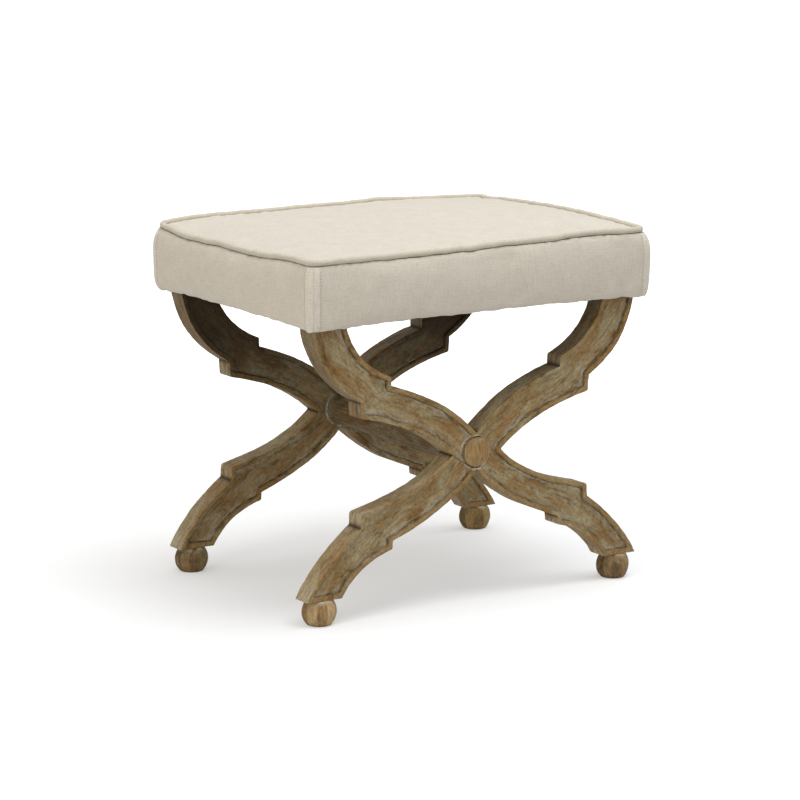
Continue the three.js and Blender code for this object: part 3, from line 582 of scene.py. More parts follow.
def leg_shape(side, keeps_outer, seed, lip, depth, arris):
    """Points, faces and colour layers of one leg about its trestle's middle plane.

    Rows run from the toe to the top. Each row is a ring round the leg: the outer face, one edge, the
    inner face and the other edge. A face lies at half the thickness less the carved depth at its
    distance from the outline. Between the shoulders of the half-lap the ring has half the thickness."""
    upper, lower, halved, end_in = leg_rows(side, seed, arris)
    way = lower - upper
    width = np.linalg.norm(way, axis=1)
    way /= width[:, None]
    upper, lower = upper + way * end_in[:, None], lower - way * end_in[:, None]
    width = (width - 2 * end_in)[:, None]
    worn = [np.clip(arris * (1 + 0.4 * ripple(edge, 16, seed + 5)), 0.5 * arris, 2.1)
            for edge in (upper, lower)]
    worn = [np.where(halved, 0.2, radius)[:, None] for radius in worn]

    # The two faces
    columns = np.broadcast_to(EDGE_COLUMNS, (len(upper), len(EDGE_COLUMNS)))
    left, right = [np.concatenate([radius * ARRIS_STEPS, columns], axis=1) for radius in worn]
    reach = EDGE_COLUMNS[-1]
    field = reach + (width - 2 * reach) * np.linspace(0, 1, FIELD_COLUMNS + 2)[1:-1]
    across = np.concatenate([left, field, width - right[:, ::-1]], axis=1)
    flat = upper[:, None] + way[:, None] * across[..., None]
    fallen = rounding(across, worn[0]) + rounding(width - across, worn[1]) + end_in[:, None]
    plane = flat.reshape(-1, 2)
    from_soft, from_crisp = [distance_to_outline(plane, outline_segments(seed, soft)).reshape(across.shape)
                             for soft in (True, False)]
    distance = np.minimum(from_soft, from_crisp)
    softness = smooth(0.5 + (from_crisp - from_soft) / 12)
    hand = (0.5 * ripple(plane, 26, seed + 2) + 0.22 * ripple(plane, 7, seed + 3)).reshape(across.shape)
    from_centre = np.linalg.norm(flat - [0, CROSSING], axis=-1)
    field_marks = ripple(plane, 12, seed + 4).reshape(across.shape)
    half = LEG_THICKNESS / 2
    outer, back = [carved_depth(distance + hand, lip, depth, field_marks, soft)
                   for soft in (softness, 0 * softness)]
    outer = np.where(from_centre < ROUNDEL_SEAT, FIELD_DEPTH, outer)
    outer = np.where(from_centre < WASHER_RADIUS + FIT, half + WASHER_SEAT, outer)
    back = np.where(from_centre < STRETCHER_SEAT, FIELD_DEPTH, back)
    back = np.where(from_centre < TENON_RADIUS + FIT, half - TENON_END + FIT, back)
    outer_y = -half + outer + fallen
    back_y = half - back - fallen
    if keeps_outer:
        back_y = np.where(halved[:, None], -FIT / 2, back_y)
    else:
        outer_y = np.where(halved[:, None], FIT / 2, outer_y)

    # The two edges
    def edge_points(edge, sign, radius, first_y, last_y):
        flat_part = np.broadcast_to(SIDE_COLUMNS, (len(edge), len(SIDE_COLUMNS)))
        down = np.concatenate([radius * ARRIS_STEPS[1:], flat_part,
                               LEG_THICKNESS - radius * ARRIS_STEPS[:0:-1]], axis=1)
        share = (down - ARRIS_STEPS[0] * radius) / (LEG_THICKNESS - 2 * ARRIS_STEPS[0] * radius)
        depth_in = rounding(down, radius) + rounding(LEG_THICKNESS - down, radius)
        surface = np.stack(np.broadcast_arrays(edge[:, None, 0], edge[:, None, 1], down), axis=-1)
        depth_in = depth_in + np.where(halved[:, None], 0, 0.12 * (1 + ripple(surface, 14, seed + 6)))
        place = edge[:, None] + sign * way[:, None] * depth_in[..., None]
        y = first_y[:, None] + share * (last_y - first_y)[:, None]
        return place, y

    right_place, right_y = edge_points(lower, -1, worn[1], outer_y[:, -1], back_y[:, -1])
    left_place, left_y = edge_points(upper, 1, worn[0], outer_y[:, 0], back_y[:, 0])
    place = np.concatenate([flat, right_place, flat[:, ::-1], left_place[:, ::-1]], axis=1)
    y = np.concatenate([outer_y, right_y, back_y[:, ::-1], left_y[:, ::-1]], axis=1)
    grid = np.stack([place[..., 0], y, place[..., 1]], axis=-1)

    # What the finish needs at each point
    outer_colour, back_colour = face_colours(plane, distance, distance + hand - lip, softness, from_centre,
                                             seed)
    colours = np.concatenate([outer_colour, side_colours(lower, seed + 9), back_colour[:, ::-1],
                              side_colours(upper, seed + 12)[:, ::-1]], axis=1)
    # Painted shade under the seat: none below 0.42 of the trestle's height, full from 0.84 up, most on the
    # inner face, half on the edges, none on the outer face.
    shade_by_face = np.repeat([0.0, 0.5, 1.0, 0.5], [across.shape[1], right_y.shape[1]] * 2)
    under_seat = smooth(((grid[..., 2] - LEG_BOTTOM) / TRESTLE_HEIGHT - 0.42) / 0.42)
    painted_seat_shade = np.stack([under_seat * shade_by_face] * 3, axis=-1)
    layers = {"carving": colours.reshape(-1, 3), "painted_seat_shade": painted_seat_shade.reshape(-1, 3),
              "flow": rubbing_way(upper, lower, grid)}

    table = np.arange(grid[..., 0].size).reshape(grid.shape[:2])
    points = grid.reshape(-1, 3)
    points = np.concatenate([points, [points[table[0]].mean(0), points[table[-1]].mean(0)]])
    layers = {name: np.concatenate([layer, layer[:1], layer[-1:]]) for name, layer in layers.items()}
    return points, capped(table, len(points) - 2), layers


def to_trestle(points, turn):
    """Points of the front trestle moved to their place, or turned half round to the rear."""
    return points * [-turn, -turn, 1] + [0, turn * TRESTLE_CENTRE, 0]


TRESTLES = (("front", -1, {-1: "right", 1: "left"}), ("rear", 1, {-1: "left", 1: "right"}))


# Turned pieces

def turned(profile, sides, radius_at=None):
    """Points and faces of a profile of (radius, height) rows turned about Z, closed with a pole at each
    end. radius_at changes the radius by the angle and the height."""
    profile = np.asarray(profile, float)
    angles = np.linspace(0, 2 * np.pi, sides, endpoint=False)
    radius = np.broadcast_to(profile[:, :1], (len(profile), sides))
    height = np.broadcast_to(profile[:, 1:], (len(profile), sides))
    if radius_at is not None:
        radius = radius_at(radius, angles[None], height)
    grid = round_place(radius, angles, height)
    table = np.arange(len(profile) * sides).reshape(len(profile), sides)
    points = grid.reshape(-1, 3)
    points = np.concatenate([points, [[0, 0, profile[0, 1]], [0, 0, profile[-1, 1]]]])
    return points, capped(table, len(points) - 2)


def ball_shape(seed):
    """A turned ball cut by hand: a circle cut off flat where it stands and under the leg, drawn in towards
    a rounded polygon whose flats run from top to bottom. The tone of each flat goes with the points."""
    centre = math.sqrt(FOOT_RADIUS ** 2 - FOOT_FLAT ** 2)
    low = -math.asin(centre / FOOT_RADIUS)
    high = math.asin((FOOT_HEIGHT - centre) / FOOT_RADIUS)
    arc = np.linspace(low, high, 40)
    profile = np.stack([FOOT_RADIUS * np.cos(arc), centre + FOOT_RADIUS * np.sin(arc)], axis=1)
    bottom = [[FOOT_FLAT * 0.5, 0], [FOOT_FLAT - 0.9, 0], [FOOT_FLAT - 0.1, 0.25]]
    top = [[profile[-1, 0] - 0.2, FOOT_HEIGHT - 0.3], [profile[-1, 0] - 1, FOOT_HEIGHT],
           [FOOT_FLAT * 0.5, FOOT_HEIGHT]]
    profile = np.concatenate([bottom, profile[1:-1], top])
    random = np.random.RandomState(seed)
    flats, crispness = 10, 240
    cuts = (np.arange(flats) + random.uniform(-0.15, 0.15, flats)) / flats * 2 * np.pi
    deep = random.uniform(0.93, 0.955, flats)
    tones = (np.arange(flats) * 0.62 + random.uniform(-0.12, 0.12, flats)) % 1

    def radius_at(radius, angle, height):
        gaps = np.cos(angle[..., None] - cuts)
        cut = np.where(gaps > 0.5, deep / np.maximum(gaps, 0.5), 9).min(-1)
        soft = -np.log(np.exp(-cut * crispness) + math.exp(-crispness)) / crispness
        middle = smooth(radius / FOOT_RADIUS * 2.4 - 1.3)
        place = round_place(radius, angle, height)
        even = radius * (1 - middle * (1 - np.minimum(soft, 1)))
        return even * (1 - 0.004 * (1 + ripple(place, 9, seed)))

    points, faces = turned(profile, 160, radius_at)
    way = np.arctan2(points[:, 1], points[:, 0])
    tone = tones[np.argmax(np.cos(way[:, None] - cuts), axis=1)]
    return points, faces, tone


def roundel_shape(seed):
    """A low domed disc: a straight rim, a rounded shoulder and a dome, on a spigot."""
    shares = np.linspace(0, 1, 14)
    shoulder = np.linspace(0, np.pi / 2, 6)
    rim_radius, rim_height = ROUNDEL_RADIUS, 2.2
    spigot_radius, spigot_depth, dome_height = WASHER_RADIUS - FIT, 1.5, 1.35
    profile = [[4, -spigot_depth], [spigot_radius, -spigot_depth], [spigot_radius, 0],
               [rim_radius - 0.3, 0], [rim_radius, 0.3], [rim_radius, rim_height]]
    profile += [[rim_radius - 1.3 * (1 - math.cos(angle)), rim_height + 0.9 * math.sin(angle)]
                for angle in shoulder[1:]]
    radius, height = profile[-1]
    profile += [[radius * (1 - share) + 1e-3, height + dome_height * (1 - (1 - share) ** 2)]
                for share in shares[1:]]

    def radius_at(radius, angle, height):
        place = round_place(radius, angle, height)
        outer = smooth(radius / ROUNDEL_RADIUS * 4 - 3)
        return radius * (1 - 0.009 * outer * (1 + ripple(place, 22, seed)))

    points, faces = turned(profile, 112, radius_at)
    points[:, 2] -= 0.12 * (1 + ripple(points, 10, seed + 1)) * (points[:, 2] > rim_height)
    return points, faces


def stretcher_shape(seed):
    """A turned bar with shallow tool rings, softened ends and a tenon at each end."""
    bevel = 0.8
    rows = np.linspace(-STRETCHER_HALF + bevel, STRETCHER_HALF - bevel, 150)
    bar = np.stack([np.full(len(rows), STRETCHER_RADIUS), rows], axis=1)
    ends = []
    for sign in (-1, 1):
        ends.append([[TENON_RADIUS * 0.5, sign * TENON_HALF], [TENON_RADIUS, sign * TENON_HALF],
                     [TENON_RADIUS, sign * STRETCHER_HALF],
                     [STRETCHER_RADIUS - bevel, sign * STRETCHER_HALF]])
    profile = np.concatenate([ends[0], bar, ends[1][::-1]])

    def radius_at(radius, angle, height):
        place = round_place(radius, angle, height)
        body = smooth(radius / STRETCHER_RADIUS * 4 - 3)
        return radius - body * (0.12 * (1 + np.sin(height * 1.1)) + 0.16 * (1 + ripple(place, 24, seed)))

    return turned(profile, 88, radius_at)


# Seat

def seat_ring(cells_long, cells_deep, inset=0.0, radius=SEAT_CORNER):
    """Places round the seat, from corner to corner and closer together at the corners: the low place on
    the seat's outline, the high one where the top's rounder corners have it, the way outwards, the nearness
    to a corner, the distance along and the distance from the nearest corner."""
    parts = []
    walked = 0.0
    high_radius = radius + TOP_CORNER - SEAT_CORNER
    mean = (radius + high_radius) / 2
    for quarter in range(4):
        long_side = quarter % 2 == 0
        cells = cells_long if long_side else cells_deep
        along_half = (SEAT_LENGTH if long_side else SEAT_DEPTH) / 2 - inset
        across_half = (SEAT_DEPTH if long_side else SEAT_LENGTH) / 2 - inset
        straight = along_half - mean
        whole = straight + mean * np.pi / 4
        along = (2 * crowded(np.arange(cells) / cells) - 1) * whole
        turn = np.clip(np.abs(along) - straight, 0, None) / mean * np.sign(along)
        on_side = np.clip(along / straight, -1, 1)
        ahead = quarter * np.pi / 2
        spin = np.array([[math.cos(ahead), math.sin(ahead)], [-math.sin(ahead), math.cos(ahead)]])
        out = np.stack([np.sin(turn), -np.cos(turn)], axis=1)
        low, high = [(np.stack([on_side * (along_half - size), np.full(cells, size - across_half)], axis=1)
                      + size * out) @ spin for size in (radius, high_radius)]
        parts.append((low, high, out @ spin, on_side ** 4, walked + along + whole, whole - np.abs(along)))
        walked += 2 * whole
    return [np.concatenate(group) for group in zip(*parts)]


# Heights of the sewn seam over its even line, in millimetres, at shares of each side
FRONT_SEAM = ([-1, -0.79, -0.66, -0.52, -0.38, -0.09, 0.04, 0.12, 0.27, 0.41, 0.63, 0.78, 0.93, 1],
              [-2.5, -2.8, -4.0, -5.2, -4.1, -4.3, -2.7, -0.9, -2.7, -1.6, 1.3, 1.9, 0.6, 1.0])
LEFT_SEAM = ([-1, -0.73, -0.58, -0.43, -0.13, 0.19, 0.5, 0.67, 0.83, 1],
             [-2.5, -3.8, -5.4, -8.5, -11.3, -9.3, -10.5, -11.1, -7.5, 0.5])
REAR_SEAM = ([-1, -0.9, -0.66, -0.42, -0.17, 0.07, 0.33, 0.58, 0.71, 0.84, 1],
             [0.5, 3.0, 5.8, 4.1, 5.6, 4.6, 6.5, 2.9, 1.8, -0.1, -0.5])
RIGHT_SEAM = ([-1, -0.77, -0.3, 0.17, 0.66, 0.86, 1], [1.0, 3.2, 6.0, 4.8, 1.8, -2.1, -0.5])


def eased(value, listed):
    """A listed height read at a value, by straight lines whose kinks are rounded away from the ends."""
    shares = np.linspace(-1, 1, 401)
    weights = np.exp(-((shares[:, None] - shares) / 0.06) ** 2)
    straight = np.interp(shares, *listed)
    inner = smooth((1 - np.abs(shares)) / 0.14)
    heights = inner * (weights @ straight / weights.sum(1)) + (1 - inner) * straight
    return np.interp(value, shares, heights)


def seam_wave(place, corner):
    """How far the sewn seam lies above its even line: each side by its list, with small random waves that
    fade to nothing at the corners."""
    x, y = place[..., 0] / (SEAT_LENGTH / 2), place[..., 1] / (SEAT_DEPTH / 2)
    long_side = np.abs(y) * SEAT_DEPTH > np.abs(x) * SEAT_LENGTH - (SEAT_LENGTH - SEAT_DEPTH)
    listed = np.where(long_side, np.where(y < 0, eased(x, FRONT_SEAM), eased(x, REAR_SEAM)),
                      np.where(x < 0, eased(y, LEFT_SEAM), eased(y, RIGHT_SEAM)))
    return listed + smooth((1 - corner) / 0.4) * 0.35 * ripple(place, 42, 32)


def side_point(ring, share, depth, swell):
    """The seat's side: a full swell of 1 - |2 share^0.9 - 1|^5, least in the middle of a side, that draws
    in by share^4 close under the welt and turns to rounder corners by share^5, on a hem that droops and a
    seam that drops at the corners. The front left corner is pulled tight and swells least, the front right
    one sags in towards its hem, and the rear left one is filled best under its welt."""
    low, high, out, corner = ring[:4]
    half = np.array([SEAT_LENGTH / 2, SEAT_DEPTH / 2])
    tight, filled, sagged = [np.exp(-(np.linalg.norm(low - sign * half, axis=-1) / CORNER_REACH) ** 2)
                             for sign in np.array([(-1, -1), (-1, 1), (1, -1)])]
    full = 0.72 + 0.28 * corner - 0.6 * tight - 0.55 * sagged * (1 - share)
    move = swell * full * (1 - np.abs(2 * share ** 0.9 - 1) ** 5) + 3 * filled * share ** 2
    move = move - (WELT_TUCK + SIDE_WAIST * (1 - corner)) * share ** 4 - depth
    bottom = RAIL_BOTTOM - FIT - CLOTH - HEM_DROOP * corner
    bottom = bottom + 0.8 * ripple(low, 17, 36) + 0.4 * ripple(low, 40, 37)
    top = SEAM_HEIGHT - CORNER_DROP * corner + seam_wave(low, corner)
    place = low + (high - low) * (share ** 5)[..., None] + out * move[..., None]
    return np.concatenate([place, (bottom + (top - bottom) * share)[..., None]], axis=-1)


def welt_line(ring, radius, swell):
    """The middle of the welt: beside the top of the boxing and above it, not quite straight."""
    line = side_point(ring, np.ones(len(ring[3])), CLOTH + (radius + FIT) * math.sin(WELT_LEAN), swell)
    line[:, 2] += (radius + FIT) * math.cos(WELT_LEAN)
    shift = smooth((1 - ring[3]) / 0.4) * (0.7 * ripple(ring[0], 150, 34) + 0.5 * ripple(ring[0], 45, 35))
    line[:, :2] += ring[2] * shift[:, None]
    return line


def tube(line, radii, sides, out):
    """A closed tube round a closed line: at each place a ring of points in the plane of the way outwards
    and the upright. Its uv is the distance along and the distance round."""
    angles = np.linspace(0, 2 * np.pi, sides, endpoint=False)
    ring_out = np.concatenate([out, np.zeros((len(out), 1))], axis=1)
    grid = line[:, None] + radii[..., None] * (np.cos(angles)[None, :, None] * ring_out[:, None]
                                              + np.sin(angles)[None, :, None] * UP)
    table = np.arange(len(line) * sides).reshape(len(line), sides)
    wrapped = closed_table(table)
    wrapped = np.concatenate([wrapped, wrapped[:1]])
    step = np.linalg.norm(np.roll(line, -1, axis=0) - line, axis=1)
    along = np.concatenate([[0], np.cumsum(step)])
    around = np.linspace(0, 2 * np.pi * radii.mean(), sides + 1)
    uv = np.stack(np.meshgrid(along, around, indexing="ij"), axis=-1)
    return grid.reshape(-1, 3), [quads(wrapped)], [quads(uv)]


# Cells along the seat's long and short sides, and rows of the boxing as shares of its height
LONG_CELLS, DEEP_CELLS = 92, 70
SIDE_SHARES = np.array([0.982, 0.958, 0.92, 0.87, 0.81, 0.74, 0.67, 0.59, 0.51, 0.43, 0.36, 0.29, 0.22,
                        0.155, 0.09, 0.04, 0.0])
# How far the boxing's weave lies from the top's in the uv, so that the two don't run on
BOXING_UV = 900.0


def rim_to_grid(rim):
    """The inside of a four-sided rim, filled by blending its opposite sides."""
    n, m = LONG_CELLS, DEEP_CELLS
    front = rim[:n + 1]
    right = rim[n:n + m + 1]
    rear = rim[n + m:2 * n + m + 1][::-1]
    left = np.concatenate([rim[2 * n + m:], rim[:1]])[::-1]
    u = crowded(np.linspace(0, 1, n + 1))[None, :, None]
    v = crowded(np.linspace(0, 1, m + 1))[:, None, None]
    return ((1 - v) * front[None] + v * rear[None] + (1 - u) * left[:, None] + u * right[:, None]
            - (1 - u) * (1 - v) * front[0] - u * (1 - v) * front[-1]
            - (1 - u) * v * rear[0] - u * v * rear[-1])


def grid_rim(n, m):
    """Row and column of each place round the rim of a grid, in the order of the seat's ring."""
    front = [(0, i) for i in range(n)]
    right = [(j, n) for j in range(m)]
    rear = [(m, n - i) for i in range(n)]
    left = [(m - j, 0) for j in range(m)]
    return np.array(front + right + rear + left)


def cushion_shape(swell, crown, welt_radius):
    """Points, faces, uv, free share and painted crease shade of the seat: a top panel, a bed for the welt
    with a narrow crease on both sides of it, the boxing, its turn under the hem, and the inside over the
    rails. The top rises from its rim by 1 - e^(-gap / 3) and crowns by (1 - u^4)(1 - v^4), where u and v run
    from zero in the middle to one at the rim."""
    n, m = LONG_CELLS, DEEP_CELLS
    ring = seat_ring(n, m)
    count = len(ring[3])
    welt = welt_line(ring, welt_radius, swell)
    out = np.concatenate([ring[2], np.zeros((count, 1))], axis=1)
    rim = welt - out * (welt_radius + 0.3) - UP * 1.3
    top = rim_to_grid(rim)
    u = np.abs(2 * (top[..., 0] - top[..., 0].min()) / np.ptp(top[..., 0]) - 1)
    v = np.abs(2 * (top[..., 1] - top[..., 1].min()) / np.ptp(top[..., 1]) - 1)
    gap = distance_to_outline(top[..., :2].reshape(-1, 2), (rim[:, :2], np.roll(rim[:, :2], -1, axis=0)))
    gap = gap.reshape(u.shape)
    dome = (crown - 2) * (1 - u ** 4) * (1 - v ** 4) * (1 - np.exp(-gap / 20))
    top[..., 2] += 3.2 * (1 - np.exp(-gap / 3)) + dome

    rows = [welt - out * 3.0 - UP * (welt_radius + 0.4), welt + out * 1.2 - UP * (welt_radius + 0.35),
            side_point(ring, np.full(count, 0.998), 0.4, swell)]
    rows += [side_point(ring, np.full(count, value), 0.0, swell) for value in SIDE_SHARES]
    hem = rows[-1]
    base = np.concatenate([ring[0], hem[:, 2:]], axis=1)
    turned_in = base - out * TURN_UNDER
    rows += [base - out * 1.0 - UP * 0.5, turned_in - UP * 0.2, turned_in + UP * CLOTH]
    inner = seat_ring(n, m, RAIL_INSET - FIT, FIT)
    inner_low = np.concatenate([inner[0], np.full((count, 1), RAIL_BOTTOM + FIT)], axis=1)
    inner_high = inner_low + UP * (FOAM_BOTTOM - RAIL_BOTTOM - FIT)
    rows += [inner_low, inner_high]
    floor = rim_to_grid(inner_high)

    where = grid_rim(n, m)
    top_table = np.arange((m + 1) * (n + 1)).reshape(m + 1, n + 1)
    points = [top.reshape(-1, 3)]
    used = top_table.size
    tables = [top_table[where[:, 0], where[:, 1]]]
    for row in rows[:-1]:
        tables.append(used + np.arange(count))
        points.append(row)
        used += count
    floor_table = used + np.arange((m + 1) * (n + 1)).reshape(m + 1, n + 1)
    points.append(floor.reshape(-1, 3))
    tables.append(floor_table[where[:, 0], where[:, 1]])
    side_table = np.array(tables)
    faces = [quads(top_table), quads(closed_table(side_table))[:, ::-1], quads(floor_table)[:, ::-1]]

    along = np.append(ring[4], ring[4][-1] + np.linalg.norm(ring[0][0] - ring[0][-1]))
    walked = [rim] + rows
    lengths = [np.zeros(count)] + [np.linalg.norm(b - a, axis=1) for a, b in zip(walked[:-1], walked[1:])]
    fallen = -np.cumsum(lengths, axis=0)
    side_uv = np.stack([np.broadcast_to(along, (len(walked), count + 1)),
                        closed_table(fallen) + BOXING_UV], axis=-1)
    uvs = [quads(top[..., :2]), quads(side_uv)[:, ::-1], quads(floor[..., :2])[:, ::-1]]

    free = [smooth(np.clip(gap / 7, 0, 1).ravel())]
    # crease: painted shade along the top's rim, on the welt's bed, close under the welt, at the hem and
    # inside
    crease = [np.exp(-(gap / 1.6) ** 2).ravel() * 0.6]
    by_corner = smooth((ring[5] - 9) / 30)
    beds = [(0.0, 1.0), (0.0, 1.0), (0.0, 0.5)]
    sides = [(smooth(min((1 - at) / 0.14, at / 0.12)), math.exp(-((1 - at) / 0.02) ** 2) * 0.5)
             for at in SIDE_SHARES]
    hems = [(0.0, 0.5)] * (len(rows) - 1 - len(beds) - len(sides))
    for value, dark in beds + sides + hems:
        free.append(value * by_corner)
        crease.append(np.full(count, dark))
    free.append(np.zeros(floor_table.size))
    crease.append(np.zeros(floor_table.size))
    crease = np.concatenate(crease)
    return (np.concatenate(points), faces, uvs, np.concatenate(free),
            np.stack([crease, 0 * crease, 0 * crease], axis=1))


# A light washed linen over wadding, for the cloth simulation
CLOTH_SETTINGS = {"quality": 5, "mass": 0.25, "tension_stiffness": 18, "compression_stiffness": 18,
                  "shear_stiffness": 8, "bending_stiffness": 1.2, "pin_stiffness": 1.0,
                  "use_pressure": True, "uniform_pressure_force": 4.0}
CLOTH_FRAMES = 20


def inflate(piece, free, most):
    """Cloth simulation of the padded seat: the free cloth swells under a light pressure, no point moves
    further than its free share of the cap, and the result is kept in the mesh."""
    scene = bpy.context.scene
    count = len(piece.data.vertices)
    before = np.empty(count * 3, np.float32)
    piece.data.vertices.foreach_get("co", before)
    group = piece.vertex_groups.new(name="held")
    for level in np.unique(np.round(free, 2)):
        members = np.flatnonzero(np.round(free, 2) == level)
        if level < 1:
            group.add(members.tolist(), float(1 - level), "REPLACE")
    cloth = piece.modifiers.new("padding", "CLOTH")
    cloth.settings.vertex_group_mass = "held"
    for name, value in CLOTH_SETTINGS.items():
        setattr(cloth.settings, name, value)
    cloth.settings.effector_weights.gravity = 0.0
    cloth.collision_settings.use_collision = False
    cloth.collision_settings.use_self_collision = False
    for number in range(CLOTH_FRAMES):
        scene.frame_set(number + 1)
    shaped = piece.evaluated_get(bpy.context.evaluated_depsgraph_get())
    after = np.empty(count * 3, np.float32)
    shaped.data.vertices.foreach_get("co", after)
    piece.modifiers.remove(cloth)
    piece.vertex_groups.remove(group)
    scene.frame_set(1)
    move = (after - before).reshape(-1, 3)
    length = np.linalg.norm(move, axis=1)
    limit = free * most * MM
    capped_length = limit * np.tanh(length / np.maximum(limit, 1e-9))
    scale = np.where(length > 1e-9, capped_length / np.maximum(length, 1e-9), 0)
    piece.data.vertices.foreach_set("co", (before.reshape(-1, 3) + move * scale[:, None]).ravel())
    piece.data.update()
    return float(length.max() / MM)


def apply_modifiers(piece):
    """Keeps the result of a piece's modifiers in its mesh."""
    shaped = bpy.data.meshes.new_from_object(piece.evaluated_get(bpy.context.evaluated_depsgraph_get()))
    piece.modifiers.clear()
    piece.data = shaped


def pucker(piece, seed):
    """Small folds that run off the seams: along a seam a sum of waves 12 to 30 mm long, over slower
    waves across the panels, moved along the surface's normal."""
    mesh = piece.data
    count = len(mesh.vertices)
    place = np.empty(count * 3, np.float32)
    mesh.vertices.foreach_get("co", place)
    place = place.reshape(-1, 3) / MM
    normal = np.empty(count * 3, np.float32)
    mesh.vertex_normals.foreach_get("vector", normal)
    normal = normal.reshape(-1, 3)
    from_long = SEAT_DEPTH / 2 - np.abs(place[:, 1])
    from_short = SEAT_LENGTH / 2 - np.abs(place[:, 0])
    on_long = smooth((from_short - from_long) / 24 + 0.5)
    corner_free = smooth((np.maximum(from_long, from_short) - 14) / 22)
    x_line = np.stack([place[:, 0], 40 * np.sign(place[:, 1])], axis=1)
    y_line = np.stack([place[:, 1], 40 * np.sign(place[:, 0])], axis=1)

    def along(size, start):
        return on_long * ripple(x_line, size, start) + (1 - on_long) * ripple(y_line, size, start + 1)

    inset = np.minimum(from_long, from_short)
    seam = SEAM_HEIGHT + seam_wave(place[:, :2], np.zeros(count))
    top = (normal[:, 2] > 0.5) & (place[:, 2] > SEAM_HEIGHT - 16)
    from_seam = np.clip(inset - 16, 0, None)
    top_fold = np.exp(-((from_seam - 7) / 11) ** 2) * (0.55 * along(19, seed) + 0.3 * along(9, seed + 2))
    top_wave = smooth(from_seam / 30) * (0.85 * ripple(place[:, :2], 150, seed + 4)
                                         + 0.3 * ripple(place[:, :2], 55, seed + 5))
    high = seam - place[:, 2]
    low = place[:, 2] - (RAIL_BOTTOM - CLOTH)
    side = (np.abs(normal[:, 2]) < 0.75) & (inset < 9) & (high > 0.5)
    side_fold = (np.exp(-((high - 6) / 9) ** 2) * (0.5 * along(17, seed + 6) + 0.25 * along(8, seed + 7))
                 + np.exp(-(low / 9) ** 2) * 0.5 * along(34, seed + 8))
    side_wave = smooth(np.minimum(high, low) / 20) * (0.7 * along(120, seed + 9)
                                                      + 0.3 * ripple(place, 50, seed + 10))
    height = np.where(top, top_fold + top_wave, 0) + np.where(side, side_fold + side_wave, 0)
    place = place + normal * (height * corner_free)[:, None]
    mesh.vertices.foreach_set("co", (place * MM).astype(np.float32).ravel())
    mesh.update()


# Length of a corner seam, its two lines of stitches, their pitch, and a stitch's length and radius
SEAM_LENGTH = 92.0
STITCH_LINES = (-10.4, 10.4)
STITCH_PITCH, STITCH_LENGTH, THREAD_RADIUS = 4.3, 3.0, 0.36
CORNER_SIGNS = np.array([(-1, -1), (1, -1), (1, 1), (-1, 1)])


def corner_ring(quarter_corner, across, shares):
    """Places on the boxing beside one corner in the form of a seat ring, by their distance from the corner
    round the seat and their share of the side's height."""
    sign = CORNER_SIGNS[quarter_corner]
    across, shares = np.broadcast_arrays(across, shares)
    radius = SEAT_CORNER + (TOP_CORNER - SEAT_CORNER) * shares ** 5
    on_arc = np.clip(across, -radius * np.pi / 4, radius * np.pi / 4)
    angle = math.atan2(sign[1], sign[0]) + on_arc / radius
    out = np.stack([np.cos(angle), np.sin(angle)], axis=-1)
    tangent = np.stack([-np.sin(angle), np.cos(angle)], axis=-1)
    half = np.array([SEAT_LENGTH / 2, SEAT_DEPTH / 2])
    place = (sign * (half - radius[..., None]) + radius[..., None] * out
             + tangent * (across - on_arc)[..., None])
    facing_x = np.abs(out[..., 0]) > np.abs(out[..., 1])
    straight = np.where(facing_x, half[1], half[0]) - (SEAT_CORNER + TOP_CORNER) / 2
    return place, place, out, (1 - np.abs(across - on_arc) / straight) ** 4


def seam_band_shape(quarter_corner, swell):
    """The felled seam of one corner: a strip that follows the boxing round the corner, raised over the
    doubled cloth, with a groove where the two panels meet and dents between the stitches."""
    rows, columns, half_width = 96, 45, 12.4
    across = np.linspace(-half_width, half_width, columns)[None]
    shares = np.linspace(0.004, 0.988, rows)[:, None]
    ring = corner_ring(quarter_corner, across, shares)
    share = np.broadcast_to(shares, (rows, columns))
    edge = half_width - np.abs(across)
    lines = np.exp(-((np.abs(across) - STITCH_LINES[1]) / 1.0) ** 2)
    middle = np.exp(-((across - 2) / 0.8) ** 2)
    between_stitches = 0.5 - 0.5 * np.cos((shares * SEAM_LENGTH - 4) / STITCH_PITCH * 2 * np.pi)
    lift = -0.5 + 1.4 * smooth(edge / 1.4) - 0.7 * middle - (0.35 + 0.35 * between_stitches) * lines
    lift = lift - 0.18 * between_stitches * np.exp(-((np.abs(across) - 8) / 3.0) ** 2)
    face = side_point(ring, share, -lift, swell)
    back = side_point(ring, share, 1.0, swell)
    table = np.arange(rows * columns).reshape(rows, columns)
    other = table + rows * columns
    rim = np.concatenate([table[0, :-1], table[:-1, -1], table[-1, :0:-1], table[:0:-1, 0]])
    onward = np.roll(rim, -1)
    wall = np.stack([rim, onward, onward + rows * columns, rim + rows * columns], axis=1)
    points = np.concatenate([face.reshape(-1, 3), back.reshape(-1, 3)])
    flat = np.stack(np.broadcast_arrays(across, shares * SEAM_LENGTH), axis=-1)
    faces = [quads(table), quads(other)[:, ::-1], wall[:, ::-1]]
    uvs = [quads(flat), quads(flat)[:, ::-1], np.zeros((len(wall), 4, 2))]
    # crease: painted shade in the groove between the panels, in the dents along the stitch lines and at the
    # band's edges; the hidden back is dark throughout
    crease = 0.45 * middle * (0.5 + 0.5 * between_stitches) + lines * (0.1 + 0.8 * between_stitches)
    crease = np.clip(crease + 0.25 * np.exp(-(edge / 0.8) ** 2), 0, 1)
    crease = np.concatenate([crease.ravel(), np.ones(rows * columns)])
    return points, faces, uvs, np.stack([crease, 0 * crease, 0 * crease], axis=1)


